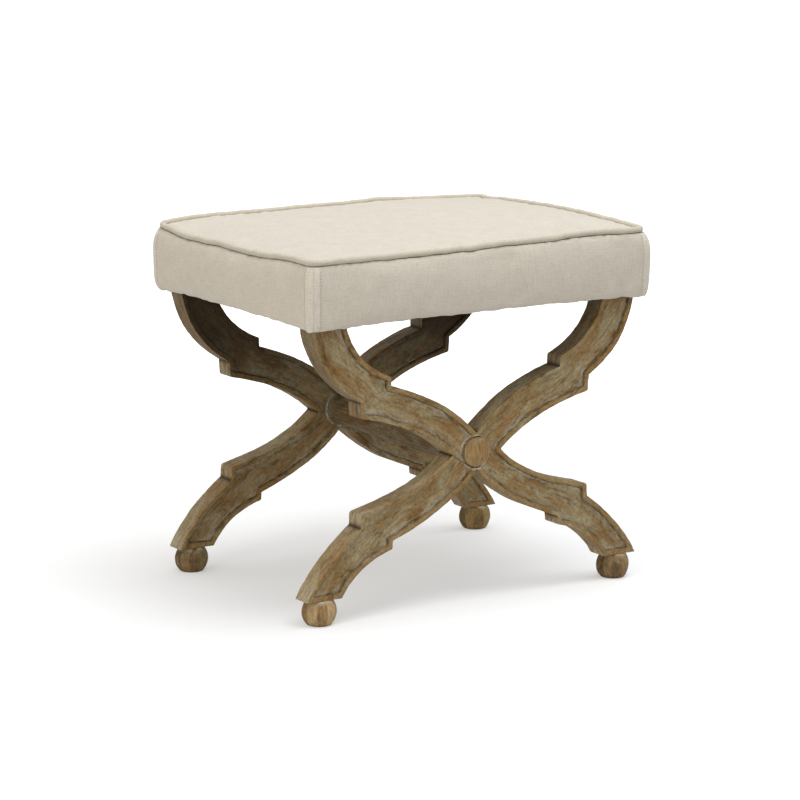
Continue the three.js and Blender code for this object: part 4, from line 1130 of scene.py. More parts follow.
def stitches_shape(quarter_corner, swell):
    """Two rows of stitches beside a corner seam: short bent threads, each a ring of six points carried
    along an arch that dives into the cloth at both ends."""
    centres = np.arange(4, SEAM_LENGTH - 5, STITCH_PITCH)
    sections = np.linspace(-1, 1, 6)
    around = np.linspace(0, 2 * np.pi, 6, endpoint=False)
    thread = (THREAD_RADIUS * np.sqrt(np.clip(1.04 - sections ** 6, 0.1, 1)))[None, :, None, None]
    pieces, faces, start = [], [], 0
    for line in STITCH_LINES:
        share = (centres[:, None] + sections[None] * STITCH_LENGTH / 2) / SEAM_LENGTH
        ring = corner_ring(quarter_corner, line, share)
        rise = np.broadcast_to(0.75 - 0.7 * sections ** 4, share.shape)
        spine = side_point(ring, share, -rise, swell)
        flat = np.zeros(share.shape + (1,))
        normal = np.concatenate([ring[2], flat], axis=-1)[:, :, None]
        aside = np.concatenate([-ring[2][..., 1:], ring[2][..., :1], flat], axis=-1)[:, :, None]
        grid = spine[:, :, None] + thread * (np.cos(around)[:, None] * normal
                                             + np.sin(around)[:, None] * aside)
        for points in grid:
            table = start + np.arange(points[..., 0].size).reshape(points.shape[:2])
            pieces += [points.reshape(-1, 3), points[[0, -1]].mean(1)]
            faces += capped(table, start + table.size)
            start += table.size + 2
    return np.concatenate(pieces), faces


# Under the seat

def dust_cover_shape(seed):
    """A tight sheet under the rails: flat where it is stapled, with a slight sag and slack folds in the
    middle, and a notch round each leg top."""
    half_x, half_y = SEAT_LENGTH / 2 - TURN_UNDER - 2 * FIT, SEAT_DEPTH / 2 - TURN_UNDER - 2 * FIT
    notch_x = LEG_TOP_CENTRE - LEG_TOP_WIDTH / 2 - FIT
    notch_low = TRESTLE_CENTRE - LEG_THICKNESS / 2 - FIT
    notch_high = TRESTLE_CENTRE + LEG_THICKNESS / 2 + FIT
    mid_x = np.linspace(0, notch_x, 46)
    right = np.concatenate([mid_x, np.linspace(notch_x, half_x, 9)[1:]])
    mid_y = np.linspace(0, notch_low, 34)
    up = np.concatenate([mid_y, np.linspace(notch_low, notch_high, 7)[1:],
                         np.linspace(notch_high, half_y, 4)[1:]])
    xs = np.concatenate([-right[:0:-1], right])
    ys = np.concatenate([-up[:0:-1], up])
    x, y = np.meshgrid(xs, ys)
    inside = np.minimum(smooth((half_x - 52 - np.abs(x)) / 60), smooth((half_y - 52 - np.abs(y)) / 60))
    flat = np.stack([x, y], axis=-1)
    sag = 2.2 * inside + 0.5 * inside * ripple(flat, 90, seed) + 0.25 * inside * ripple(flat, 30, seed + 1)
    z = DUST_COVER_TOP - np.maximum(sag, 0)
    table = np.arange(x.size).reshape(x.shape)
    faces = quads(table)
    uv = quads(flat)
    middle_x = np.abs(uv[..., 0].mean(1))
    middle_y = np.abs(uv[..., 1].mean(1))
    keep = ~((middle_x > notch_x) & (middle_y > notch_low) & (middle_y < notch_high))
    points = np.stack([x, y, z], axis=-1).reshape(-1, 3)
    area = (4 * half_x * half_y - 4 * (half_x - notch_x) * (notch_high - notch_low)) * MM * MM
    return points, [faces[keep][:, ::-1]], [uv[keep][:, ::-1]], (2 * half_x * MM, 2 * half_y * MM), area


def staples_shape():
    """Staples along the rails: each a flattened bar with two bent ends, on the dust cover."""
    crown, leg, wire = 11.0, 1.2, 0.55
    path = np.array([[-crown / 2, leg], [-crown / 2, 0.25], [-crown / 2 + 0.4, 0], [crown / 2 - 0.4, 0],
                     [crown / 2, 0.25], [crown / 2, leg]])
    profile = np.array([[-0.6, -0.5], [0.6, -0.5], [0.6, 0.5], [-0.6, 0.5]]) * wire
    spots = []
    half_x, half_y = SEAT_LENGTH / 2 - 20, SEAT_DEPTH / 2 - 20
    for x in np.linspace(-185, 185, 11):
        spots += [(x, -half_y - 2, 0.0), (x, half_y + 2, 0.0)]
    for y in np.linspace(-130, 130, 8):
        spots += [(-half_x - 2, y, 1.0), (half_x + 2, y, 1.0)]
    points, faces = [], []
    low = DUST_COVER_TOP - DUST_COVER_THICKNESS - wire / 2
    random = np.random.RandomState(7)
    for start, (x, y, across) in enumerate(spots):
        angle = across * np.pi / 2 + random.uniform(-0.12, 0.12)
        way = np.array([math.cos(angle), math.sin(angle), 0])
        aside = np.array([-math.sin(angle), math.cos(angle), 0])
        spine = np.array([x, y, low]) + path[:, :1] * way + path[:, 1:] * UP
        bend = np.array([way, way * 0.7 - UP * 0.7, -UP, -UP, -way * 0.7 - UP * 0.7, -way])
        grid = spine[:, None] + profile[None, :, :1] * aside + profile[None, :, 1:] * bend[:, None]
        table = start * 24 + np.arange(24).reshape(6, 4)
        points.append(grid.reshape(-1, 3))
        faces += [quads(closed_table(table)), table[0][None], table[-1][::-1][None]]
    return np.concatenate(points), faces


# Materials. Sizes of patterns are in millimetres, places in metres.

# The scale at which one wave of a wave texture is a metre long
WAVE = 0.314
# How far the tree's pith lies from a piece
PITH = (0, 0.05, 0.09)
# Turns that bring the way of the grain onto the vector's X
ALONG_SEAT, ACROSS_SEAT, UPRIGHT = (0, 0, 0), (0, 0, math.pi / 2), (0, math.pi / 2, 0)


def wood_rings(tree, along, ring=5.0):
    """Growth rings round a pith that runs with the vector's X, which is the way of the grain."""
    from_pith = add_node(tree, "Mapping", {"Vector": along, "Location": PITH, "Scale": (0.12, 1, 1)})
    return add_node(tree, "TexWave", {
        "Vector": from_pith[0], "Scale": WAVE / (ring * MM), "Distortion": 7.0, "Detail": 3.0,
        "Detail Scale": 1.2, "Detail Roughness": 0.6},
        wave_type="RINGS", rings_direction="X", wave_profile="SAW")[1]


def limed_oak(look, name, turn, shade=1.0, figure=0.35):
    """Oak, band-sawn and carved, stained brown, rubbed with lime wax and sanded back: grey lime stays in the
    pores, in streaks and in the hollows, and the lips and arrises are worn to a yellow brown. Painted shade
    darkens the faces high under the seat, and grime with painted shade darkens the crevices. Shade darkens a
    whole piece: painted shade on the rear legs, painted shade with a darker tone on the stretcher. Figure is
    the share of the growth rings."""
    material, tree = new_material(name)
    coords = add_node(tree, "TexCoord")["Object"]
    along = add_node(tree, "Mapping", {"Vector": coords, "Rotation": turn})[0]
    flow = add_node(tree, "Attribute", attribute_name="flow")["Vector"]
    fibres = cloud(tree, along, 1.2, 3, 0.6, 0.2, stretch=(0.07, 1, 1))
    streaks = cloud(tree, flow, 3.0, 4, 0.6, 0.3, stretch=(0.09, 1, 1))
    broad = cloud(tree, flow, 15, 4, 0.6, 0.5, stretch=(0.2, 1, 1))
    in_hollows, on_lips, in_crevices = carried(tree, "carving")

    sawn = add_node(tree, "ValToRGB", {0: streaks}, [
        (0.3, "#78603C"), (0.46, "#8B7047"), (0.56, "#967A4D"), (0.7, "#A68A5B")])[0]
    orange = patches(tree, [(0.46, 0), (0.62, 0.75)], flow, 19, 5, 0.68, 0.4,
                     move=(0.3, 0.1, 0.2), stretch=(0.3, 1, 1))
    film = patches(tree, [(0.43, 0), (0.61, 0.95)], flow, 24, 6, 0.72, 0.4,
                   move=(1.3, 0.4, 0.8), stretch=(0.4, 1, 1))
    pores = add_node(tree, "ValToRGB", {0: fibres}, [(0.36, 0.72), (0.54, 1)])
    film = add_node(tree, "Math", {0: film, 1: pores[0]}, operation="MULTIPLY")[0]
    rings = add_node(tree, "ValToRGB", {0: wood_rings(tree, along)}, [
        (0, 1), (0.75, 0.9), (0.93, 0.5), (1, 0.95)])[0]
    uneven = add_node(tree, "ValToRGB", {0: broad}, [(0.4, 0.15), (0.58, 0.9)])
    worn = add_node(tree, "Math", {0: on_lips, 1: uneven[0]}, operation="MULTIPLY")[0]
    grain = add_node(tree, "ValToRGB", {0: fibres}, [
        (0.3, 0.76), (0.45, 0.95), (0.6, 1.05), (0.75, 1.16)])[0]
    mottle = patches(tree, [(0.35, 0.74), (0.5, 1), (0.65, 1.22)], coords, 5, 5, 0.75)
    stained = patches(tree, [(0.53, 0), (0.64, 0.75)], flow, 15, 6, 0.76, 0.4,
                      move=(0.2, 0.6, 0.1), stretch=(0.45, 1, 1))
    broken = patches(tree, [(0.34, 0.1), (0.52, 1)], coords, 4.5, 4, 0.7)
    lime = add_node(tree, "Math", {0: in_hollows, 1: broken}, operation="MULTIPLY", use_clamp=True)[0]
    dirt_and_shade = add_node(tree, "Math", {0: in_crevices, 1: 0.9}, operation="MULTIPLY")[0]
    specks = patches(tree, [(0.66, 0), (0.73, 0.7)], along, 2.4, 2, 0.6, stretch=(0.4, 1, 1))
    finish = coats(tree, sawn, [
        ("MIX", orange, "#936A39"),
        ("MIX", film, "#A79B7A"),
        ("MULTIPLY", figure, rings),
        ("MIX", worn, look.worn_colour),
        ("MULTIPLY", 0.8, grain),
        ("MULTIPLY", 1.0, mottle),
        ("MIX", stained, "#5A4422"),
        ("MIX", lime, look.lime_colour),
        # painted shade under the seat, in the seat shade colour
        ("MULTIPLY", carried(tree, "painted_seat_shade")[0], look.seat_shade_colour),
        # grime and painted shade in the crevices
        ("MIX", dirt_and_shade, "#33261A"),
        ("MIX", specks, "#3E2E1A"),
        # painted shade over the whole piece, with a darker tone on the stretcher
        ("MULTIPLY", 1.0, grey(shade)),
    ])
    rough = add_node(tree, "ValToRGB", {0: broad}, [(0.3, 0.62), (0.7, 0.82)])[0]
    hand = cloud(tree, coords, 9, 3, 0.55, 0.4)
    return finish_material(material, {
        "Base Color": finish, "Roughness": rough, "Specular IOR Level": 0.18,
        "Normal": relief(tree, (hand, 0.7), (streaks, 0.4), (fibres, 0.3))})


def turned_oak(name, dark, mid, pale):
    """Oak turned on a lathe and finished by hand with flat cuts, stained, with a little lime: each flat has
    a tone of its own, with orange and dark patches and upright streaks."""
    material, tree = new_material(name)
    coords = add_node(tree, "TexCoord")["Object"]
    along = add_node(tree, "Mapping", {"Vector": coords, "Rotation": UPRIGHT})[0]
    streaks = cloud(tree, along, 4.0, 4, 0.62, 0.5, stretch=(0.22, 1, 1))
    fibres = cloud(tree, along, 1.3, 3, 0.6, 0.2, stretch=(0.16, 1, 1))
    in_joints, flat_tone, in_crevices = carried(tree, "carving")
    level = add_node(tree, "Math", {0: streaks, 1: 0.8, 2: -0.11}, operation="MULTIPLY_ADD")
    level = add_node(tree, "Math", {0: flat_tone, 1: 0.42, 2: level[0]}, operation="MULTIPLY_ADD")
    turned_wood = add_node(tree, "ValToRGB", {0: level[0]}, [(0.3, dark), (0.5, mid), (0.72, pale)])[0]
    orange = patches(tree, [(0.5, 0), (0.64, 0.4)], coords, 15, 4, 0.6, 0.4, move=(0.31, 0.17, 0.05))
    film = patches(tree, [(0.54, 0), (0.7, 0.5)], coords, 10, 4, 0.65, move=(0.5, 0.2, 0.1))
    grain = add_node(tree, "ValToRGB", {0: fibres}, [(0.3, 0.68), (0.48, 0.96), (0.72, 1.22)])[0]
    # dirt_and_shade: painted shade on the roundels' rims, and the feet darker towards the bottom
    lime, dirt_and_shade = [add_node(tree, "Math", {0: part, 1: 0.85}, operation="MULTIPLY")[0]
                  for part in (in_joints, in_crevices)]
    specks = patches(tree, [(0.67, 0), (0.74, 0.6)], coords, 2.6, 2, 0.6)
    finish = coats(tree, turned_wood, [
        ("MIX", orange, "#96703E"),
        ("MIX", film, "#A89C7C"),
        ("MULTIPLY", 0.8, grain),
        ("MIX", lime, "#C2BDA6"),
        ("MIX", dirt_and_shade, "#3A2A1A"),
        ("MIX", specks, "#4A3420"),
    ])
    hand = cloud(tree, coords, 7, 2)
    return finish_material(material, {
        "Base Color": finish, "Roughness": 0.66, "Specular IOR Level": 0.32,
        "Normal": relief(tree, (hand, 0.4), (streaks, 0.3), (fibres, 0.15))})


def plain_wood(name, tones, turn, grain, ring, roughness):
    """Planed softwood, beech or plywood: streaks and growth rings along one way, left bare. Tones are dark,
    middle and pale, grain and ring the widths of a streak and a growth ring."""
    material, tree = new_material(name)
    coords = add_node(tree, "TexCoord")["Object"]
    along = add_node(tree, "Mapping", {"Vector": coords, "Rotation": turn})[0]
    streaks = cloud(tree, along, grain, 4, 0.6, 0.15, stretch=(0.06, 1, 1))
    broad = cloud(tree, along, 30, 3, 0.55, 0.4, stretch=(0.22, 1, 1))
    pores = cloud(tree, along, 0.75, 2, 0.5, stretch=(0.09, 1, 1))
    planed = add_node(tree, "ValToRGB", {0: streaks}, list(zip((0.3, 0.5, 0.7), tones)))[0]
    rings = add_node(tree, "ValToRGB", {0: wood_rings(tree, along, ring)}, [(0, 1), (0.85, 0.8), (1, 0.97)])
    rough = add_node(tree, "ValToRGB", {0: broad}, [(0.3, roughness - 0.06), (0.7, roughness + 0.06)])
    return finish_material(material, {
        "Base Color": coats(tree, planed, [("MULTIPLY", 0.6, rings[0])]), "Roughness": rough[0],
        "Normal": relief(tree, (streaks, 0.15), (pores, 0.08))})


def zinc_steel():
    """Steel screws plated with bright zinc: a satin grey metal with faint turning marks."""
    name = "zinc plated steel"
    if name in bpy.data.materials:
        return bpy.data.materials[name]
    material, tree = new_material(name)
    coords = add_node(tree, "TexCoord")["Object"]
    marks = cloud(tree, coords, 1.2, 2, stretch=(1, 1, 6))
    plated = add_node(tree, "ValToRGB", {0: marks}, [(0.3, "#8E9297"), (0.7, "#B4B7BA")])
    rough = add_node(tree, "ValToRGB", {0: marks}, [(0.3, 0.28), (0.7, 0.42)])
    return finish_material(material, {
        "Base Color": plated[0], "Metallic": 1.0, "Roughness": rough[0],
        "Normal": relief(tree, (marks, 0.03))})


def linen(name, tones, turn=0.0):
    """Heavy linen, plain weave, washed: oatmeal yarns with slubs, soft and dull. A thread is 0.75 mm wide
    on the real cloth and is drawn 1.3 mm wide, because finer threads don't show. Painted shade darkens the
    creases. Tones are dark, middle and pale."""
    material, tree = new_material(name)
    uv = add_node(tree, "TexCoord")["UV"]
    flat = add_node(tree, "Mapping", {"Vector": uv, "Rotation": (0, 0, turn)})[0]
    thread, slub = 1.3, 20.0
    warp = cloud(tree, flat, thread, 1.5, 0.4, stretch=(thread / slub, 1, 1))
    weft = cloud(tree, flat, thread, 1.5, 0.4, move=(0.7, 0.3, 0), stretch=(1, thread / slub, 1))
    both = add_node(tree, "Math", {0: warp, 1: weft}, operation="ADD")
    cross = add_node(tree, "Math", {0: both[0], 1: 0.5}, operation="MULTIPLY")[0]
    waves = []
    for angle in (0.0, math.pi / 2):
        way = add_node(tree, "Mapping", {"Vector": flat, "Rotation": (0, 0, angle)})
        waves.append(add_node(tree, "TexWave", {
            "Vector": way[0], "Scale": WAVE / (thread * MM), "Distortion": 1.4, "Detail": 1.0,
            "Detail Scale": 0.6}, wave_type="BANDS", bands_direction="X")[1])
    weave = add_node(tree, "Math", {0: waves[0], 1: waves[1]}, operation="MULTIPLY")[0]

    fine = add_node(tree, "Math", {0: cross, 1: 0.45}, operation="MULTIPLY")
    fine = add_node(tree, "Math", {0: cloud(tree, flat, 2.4, 4, 0.75), 1: 0.55, 2: fine[0]},
                    operation="MULTIPLY_ADD")
    yarns = add_node(tree, "ValToRGB", {0: fine[0]}, list(zip((0.34, 0.5, 0.68), tones)))[0]
    blotch = patches(tree, [(0.35, 0.95), (0.65, 1.02)], flat, 40, 6, 0.72)
    gaps = add_node(tree, "ValToRGB", {0: weave}, [(0, 0.94), (0.5, 1)])[0]
    flecks = patches(tree, [(0.7, 0), (0.78, 0.4)], flat, 1.5, 2, 0.5, stretch=(0.25, 1, 1))
    # painted shade in the creases, carried by the mesh
    crease_shade = add_node(tree, "Math", {0: carried(tree, "crease_shade")[0], 1: 0.5}, operation="MULTIPLY")[0]
    washed = coats(tree, yarns, [
        ("MULTIPLY", 1.0, blotch),
        ("MULTIPLY", 0.7, gaps),
        ("MIX", flecks, tones[0]),
        # painted shade in the creases
        ("MIX", crease_shade, "#75695A"),
    ])
    height = add_node(tree, "Math", {0: cross, 1: 0.65}, operation="MULTIPLY")
    height = add_node(tree, "Math", {0: weave, 1: 0.35, 2: height[0]}, operation="MULTIPLY_ADD")[0]
    return finish_material(material, {
        "Base Color": washed, "Roughness": 0.95, "Specular IOR Level": 0.15, "Sheen Weight": 0.2,
        "Sheen Roughness": 0.6, "Normal": relief(tree, (height, 0.25))})


def cambric():
    """Black spun-bonded dust cover cloth: matt, with tiny pressed points and loose fibres."""
    material, tree = new_material("black dust cover cloth")
    coords = add_node(tree, "TexCoord")["Object"]
    fibres = cloud(tree, coords, 1.4, 4, 0.7, 0.6)
    cloth = add_node(tree, "ValToRGB", {0: fibres}, [(0.35, "#1C1B19"), (0.65, "#34322E")])
    point = 2.2
    dots = add_node(tree, "TexVoronoi", {"Vector": coords, "Scale": 1 / (point * MM), "Randomness": 0.1})
    return finish_material(material, {
        "Base Color": cloth[0], "Roughness": 0.9, "Normal": relief(tree, (fibres, 0.1), (dots[0], 0.12))})


def thread_cotton():
    """Cotton sewing thread, a shade lighter than the linen, with its twist."""
    material, tree = new_material("cotton thread")
    coords = add_node(tree, "TexCoord")["Object"]
    twist = cloud(tree, coords, 0.6, 2, stretch=(1, 1, 2))
    cotton = add_node(tree, "ValToRGB", {0: twist}, [(0.3, "#BDB29C"), (0.7, "#DDD5C4")])
    return finish_material(material, {
        "Base Color": cotton[0], "Roughness": 0.85, "Normal": relief(tree, (twist, 0.08))})


def studio_floor():
    """White painted board: seen by the camera it is lifted towards white, wholly so at a distance, and it
    keeps the shadow."""
    material, tree = new_material("white floor board")
    board = add_node(tree, "BsdfPrincipled", {
        "Base Color": grey(0.68), "Roughness": 0.9, "Specular IOR Level": 0.1})
    coords = add_node(tree, "TexCoord")["Object"]
    away = add_node(tree, "VectorMath", {0: coords}, operation="LENGTH")["Value"]
    lift = add_node(tree, "MapRange", {"Value": away, "From Min": 0.6, "From Max": 2.2, "To Min": 0.37,
                                       "To Max": 0.9}, interpolation_type="SMOOTHSTEP")
    strength = add_node(tree, "Math", {0: seen_directly(tree), 1: lift[0]}, operation="MULTIPLY")
    glow = add_node(tree, "Emission", {"Color": grey(1), "Strength": strength[0]})
    both = add_node(tree, "AddShader", {0: board[0], 1: glow[0]})
    add_node(tree, "OutputMaterial", {"Surface": both[0]})
    return material


# Settings

class StoolSizes(bpy.types.PropertyGroup):
    """Sizes of the carving and the upholstery."""
    lip_width: FloatProperty(name="Lip width", description="Width of the raised lip round a leg's face",
                             default=0.0078, min=0.004, max=0.014, unit="LENGTH", subtype="DISTANCE")
    field_depth: FloatProperty(name="Field depth", description="Depth of the carved field below the lip",
                               default=0.0046, min=0.001, max=0.006, unit="LENGTH", subtype="DISTANCE")
    arris_radius: FloatProperty(name="Arris radius", description="Rounding of the legs' worn edges",
                                default=0.0013, min=0.0005, max=0.003, unit="LENGTH", subtype="DISTANCE")
    side_swell: FloatProperty(name="Side swell", description="How far the boxing swells out",
                              default=0.009, min=0.0, max=0.012, unit="LENGTH", subtype="DISTANCE")
    crown_height: FloatProperty(name="Crown height", description="Rise of the seat's top panel",
                                default=0.0075, min=0.0, max=0.02, unit="LENGTH", subtype="DISTANCE")
    welt_radius: FloatProperty(name="Welt radius", description="Radius of the covered welt cord",
                               default=0.0045, min=0.003, max=0.007, unit="LENGTH", subtype="DISTANCE")


class StoolLook(bpy.types.PropertyGroup):
    """Finish of the carved legs, light and background."""
    lime_colour: FloatVectorProperty(name="Lime", description="Colour of the lime in the carving's hollows",
                                     default=linear("#CFC9B2"), size=4, min=0, max=1, subtype="COLOR")
    worn_colour: FloatVectorProperty(name="Worn wood", description="Colour of the worn lips and arrises",
                                     default=linear("#9A7A4B"), size=4, min=0, max=1, subtype="COLOR")
    # Colour of the painted shade under the seat
    seat_shade_colour: FloatVectorProperty(name="Stain", description="Colour of the painted shade under the seat",
                                      default=linear("#4C3F2A"), size=4, min=0, max=1, subtype="COLOR")
    key_power: FloatProperty(name="Key light", description="Power of the main lamp", default=63.5, min=0,
                             unit="POWER")
    fill_power: FloatProperty(name="Fill light", description="Power of the lamp on the left", default=27.0,
                              min=0, unit="POWER")
    sky_colour: FloatVectorProperty(name="Sky colour", description="Colour of the light all round",
                                    default=(1.0, 0.985, 0.955), size=3, min=0, max=1, subtype="COLOR")
    sky_level: FloatProperty(name="Sky level", description="Strength of the light all round", default=0.605,
                             min=0, subtype="FACTOR")


# Operators

class STOOL_OT_legs(bpy.types.Operator):
    """Carve the four legs"""
    bl_idname = "stool.legs"
    bl_label = "Legs"

    def execute(self, context):
        sizes = context.scene.stool_sizes
        carving = [size / MM for size in (sizes.lip_width, sizes.field_depth, sizes.arris_radius)]
        lean = math.atan2(TRESTLE_HEIGHT, 2 * TOE_CENTRE)
        for number, (trestle, turn, ends) in enumerate(TRESTLES):
            for side in (-1, 1):
                # The rear legs get painted shade, 0.93, for standing in the seat's shadow
                material = limed_oak(context.scene.stool_look,
                                     f"limed oak, {trestle} leg from the {ends[side]} foot",
                                     (0, -lean * side * turn, 0), 0.93 if trestle == "rear" else 1.0)
                points, faces, layers = leg_shape(side, side < 0, 140 + 40 * number, *carving)
                # Legs from the right foot get a tenth less painted shade under the seat
                layers["painted_seat_shade"] = layers["painted_seat_shade"] * (1.0 if ends[side] == "left" else 0.9)
                name = f"leg_{trestle}_from_{ends[side]}_foot"
                piece = make_piece(f"carved_{name}", to_trestle(points, turn), faces, layers=layers,
                                   sharp=48)
                finish_piece(piece, material, "limed_oak", name)
        return {"FINISHED"}


# Stain of each ball foot: dark, middle and pale
FOOT_TONES = {
    ("front", "left"): ("pale", "#765A34", "#A08257", "#C0A67B"),
    ("front", "right"): ("brown", "#4A381F", "#705838", "#8E744E"),
    ("rear", "left"): ("dark", "#4A3A22", "#6E5936", "#8C7850"),
    ("rear", "right"): ("warm", "#5A4723", "#826A3F", "#A08959"),
}


class STOOL_OT_feet(bpy.types.Operator):
    """Turn the four ball feet"""
    bl_idname = "stool.feet"
    bl_label = "Ball feet"

    def execute(self, context):
        for number, (trestle, turn, _) in enumerate(TRESTLES):
            for side, end in ((-1, "left"), (1, "right")):
                points, faces, tone = ball_shape(11 + 2 * number + side)
                joint = 0.6 + 0.4 * ripple(points, 14, 20 + number + side)
                top = np.exp(-((points[:, 2] - FOOT_HEIGHT) / 3.2) ** 2) * np.clip(joint, 0, 1)
                # low: the feet darker towards the bottom, where they stand
                low = np.exp(-(points[:, 2] / 2.5) ** 2)
                colours = np.stack([top, tone, low * 0.6], axis=1)
                name, dark, mid, pale = FOOT_TONES[trestle, end]
                material = turned_oak(f"turned oak foot, {name}", dark, mid, pale)
                points = points + [side * TOE_CENTRE, turn * TRESTLE_CENTRE, 0]
                piece = make_piece(f"ball_foot_{trestle}_{end}", points, faces,
                                   layers={"carving": colours}, sharp=50)
                finish_piece(piece, material, "turned_oak", f"foot_{trestle}_{end}")
        return {"FINISHED"}


class STOOL_OT_roundels(bpy.types.Operator):
    """Turn the two roundels on the crossings"""
    bl_idname = "stool.roundels"
    bl_label = "Roundels"

    def execute(self, context):
        material = turned_oak("turned oak roundels", "#725432", "#98794C", "#B29566")
        for trestle, turn, _ in TRESTLES:
            points, faces = roundel_shape(50 + turn)
            radius = np.hypot(points[:, 0], points[:, 1])
            edge = smooth((radius - ROUNDEL_RADIUS + 2.2) / 2)
            # The rim's lower part, against the leg, is darkened with painted shade in the third channel
            colours = np.stack([0.15 * edge, 0.5 + 0 * edge, 0.5 * edge * (points[:, 2] < 2.6)], axis=1)
            field = LEG_THICKNESS / 2 - FIELD_DEPTH + FIT
            points = np.stack([points[:, 0], -field - points[:, 2], CROSSING + points[:, 1]], axis=1)
            piece = make_piece(f"turned_roundel_{trestle}", to_trestle(points, turn), faces,
                               layers={"carving": colours}, sharp=40)
            finish_piece(piece, material, "turned_oak", f"roundel_{trestle}")
        return {"FINISHED"}


class STOOL_OT_stretcher(bpy.types.Operator):
    """Turn the stretcher between the crossings"""
    bl_idname = "stool.stretcher"
    bl_label = "Stretcher"

    def execute(self, context):
        points, faces = stretcher_shape(70)
        gap = STRETCHER_HALF - np.abs(points[:, 2])
        end = np.exp(-(gap / np.where(points[:, 2] > 0, 4.5, 2.2)) ** 2)
        knots = np.exp(-(np.linalg.norm(points - [-20, 8, 55], axis=1) / 9) ** 2)
        colours = np.stack([end, 0 * end, np.maximum(0.3 * end, 0.7 * knots)], axis=1)
        # Even painted shade under the seat along the whole stretcher
        painted_seat_shade = np.full((len(points), 3), 0.15)
        flow = points[:, [2, 0, 1]] * MM
        points = np.stack([points[:, 0], points[:, 2], CROSSING + points[:, 1]], axis=1)
        piece = make_piece("turned_stretcher", points, faces,
                           layers={"carving": colours, "painted_seat_shade": painted_seat_shade, "flow": flow}, sharp=50)
        # Shade 0.6: a darker tone together with painted shade under the seat
        oak = limed_oak(context.scene.stool_look, "limed oak stretcher", ACROSS_SEAT, 0.6, 1.0)
        finish_piece(piece, oak, "limed_oak", "stretcher")
        return {"FINISHED"}


class STOOL_OT_cushion(bpy.types.Operator):
    """Pad the seat, sew its corner seams and lay the welt"""
    bl_idname = "stool.cushion"
    bl_label = "Seat and welt"

    def execute(self, context):
        sizes = context.scene.stool_sizes
        swell, crown, radius = sizes.side_swell / MM, sizes.crown_height / MM, sizes.welt_radius / MM
        cloth = linen("washed linen", ("#BFB5A3", "#D2CABB", "#DDD6C9"))
        points, faces, uvs, free, crease_shade = cushion_shape(swell, crown, radius)
        cushion = make_piece("padded_seat", points, faces, uvs, {"crease_shade": crease_shade})
        print("seat swelled by", round(inflate(cushion, free, 1.6), 2), "mm at most")
        subdivision = cushion.modifiers.new("soft cloth", "SUBSURF")
        subdivision.levels = subdivision.render_levels = 1
        apply_modifiers(cushion)
        pucker(cushion, 300)
        finish_piece(cushion, cloth, "linen", "foam_pad", "wadding_wrap", "cover_top", "boxing_front",
                     "boxing_rear", "boxing_left", "boxing_right")

        ring = seat_ring(260, 200)
        line = welt_line(ring, radius, swell)
        sides = 16
        around = np.linspace(0, 2 * np.pi, sides, endpoint=False)
        surface = np.concatenate([line[:, None].repeat(sides, 1),
                                  (around[None, :, None] * 6).repeat(len(line), 0)], axis=-1)
        radii = radius * (1 + 0.03 * ripple(surface, 16, 81) + 0.02 * ripple(surface, 6, 82)) - 0.12
        points, faces, uvs = tube(line, radii, sides, ring[2])
        welt = make_piece("covered_welt", points, faces, uvs)
        # A darker copy of the linen: painted shade on the welt
        shaded_welt_cloth = linen("bias cut linen", ("#B3A892", "#CCC3B2", "#D8D1C2"), math.pi / 4)
        finish_piece(welt, shaded_welt_cloth, "linen", "welt")

        # A lighter copy of the linen: painted highlight on the raised seam bands
        lit_band_cloth = linen("doubled linen", ("#C4BAA8", "#DAD3C5", "#E4DED2"))
        thread = thread_cotton()
        for number, corner in enumerate(("front_left", "front_right", "rear_right", "rear_left")):
            points, faces, uvs, crease_shade = seam_band_shape(number, swell)
            band = make_piece(f"corner_seam_{corner}", points, faces, uvs, {"crease_shade": crease_shade})
            finish_piece(band, lit_band_cloth, "linen")
            points, faces = stitches_shape(number, swell)
            finish_piece(make_piece(f"corner_stitches_{corner}", points, faces), thread, "linen")
        return {"FINISHED"}


class STOOL_OT_underside(bpy.types.Operator):
    """Staple the dust cover under the seat"""
    bl_idname = "stool.underside"
    bl_label = "Dust cover"

    def execute(self, context):
        points, faces, uvs, flat, area = dust_cover_shape(90)
        cover = make_piece("stapled_dust_cover", points, faces, uvs, closed=False)
        wall = cover.modifiers.new("thickness", "SOLIDIFY")
        wall.thickness = DUST_COVER_THICKNESS * MM
        wall.offset = -1
        apply_modifiers(cover)
        finish_piece(cover, cambric(), "cambric", "dust_cover")
        points, faces = staples_shape()
        staples = make_piece("dust_cover_staples", points, faces)
        finish_piece(staples, zinc_steel(), "zinc_steel")
        return {"FINISHED"}


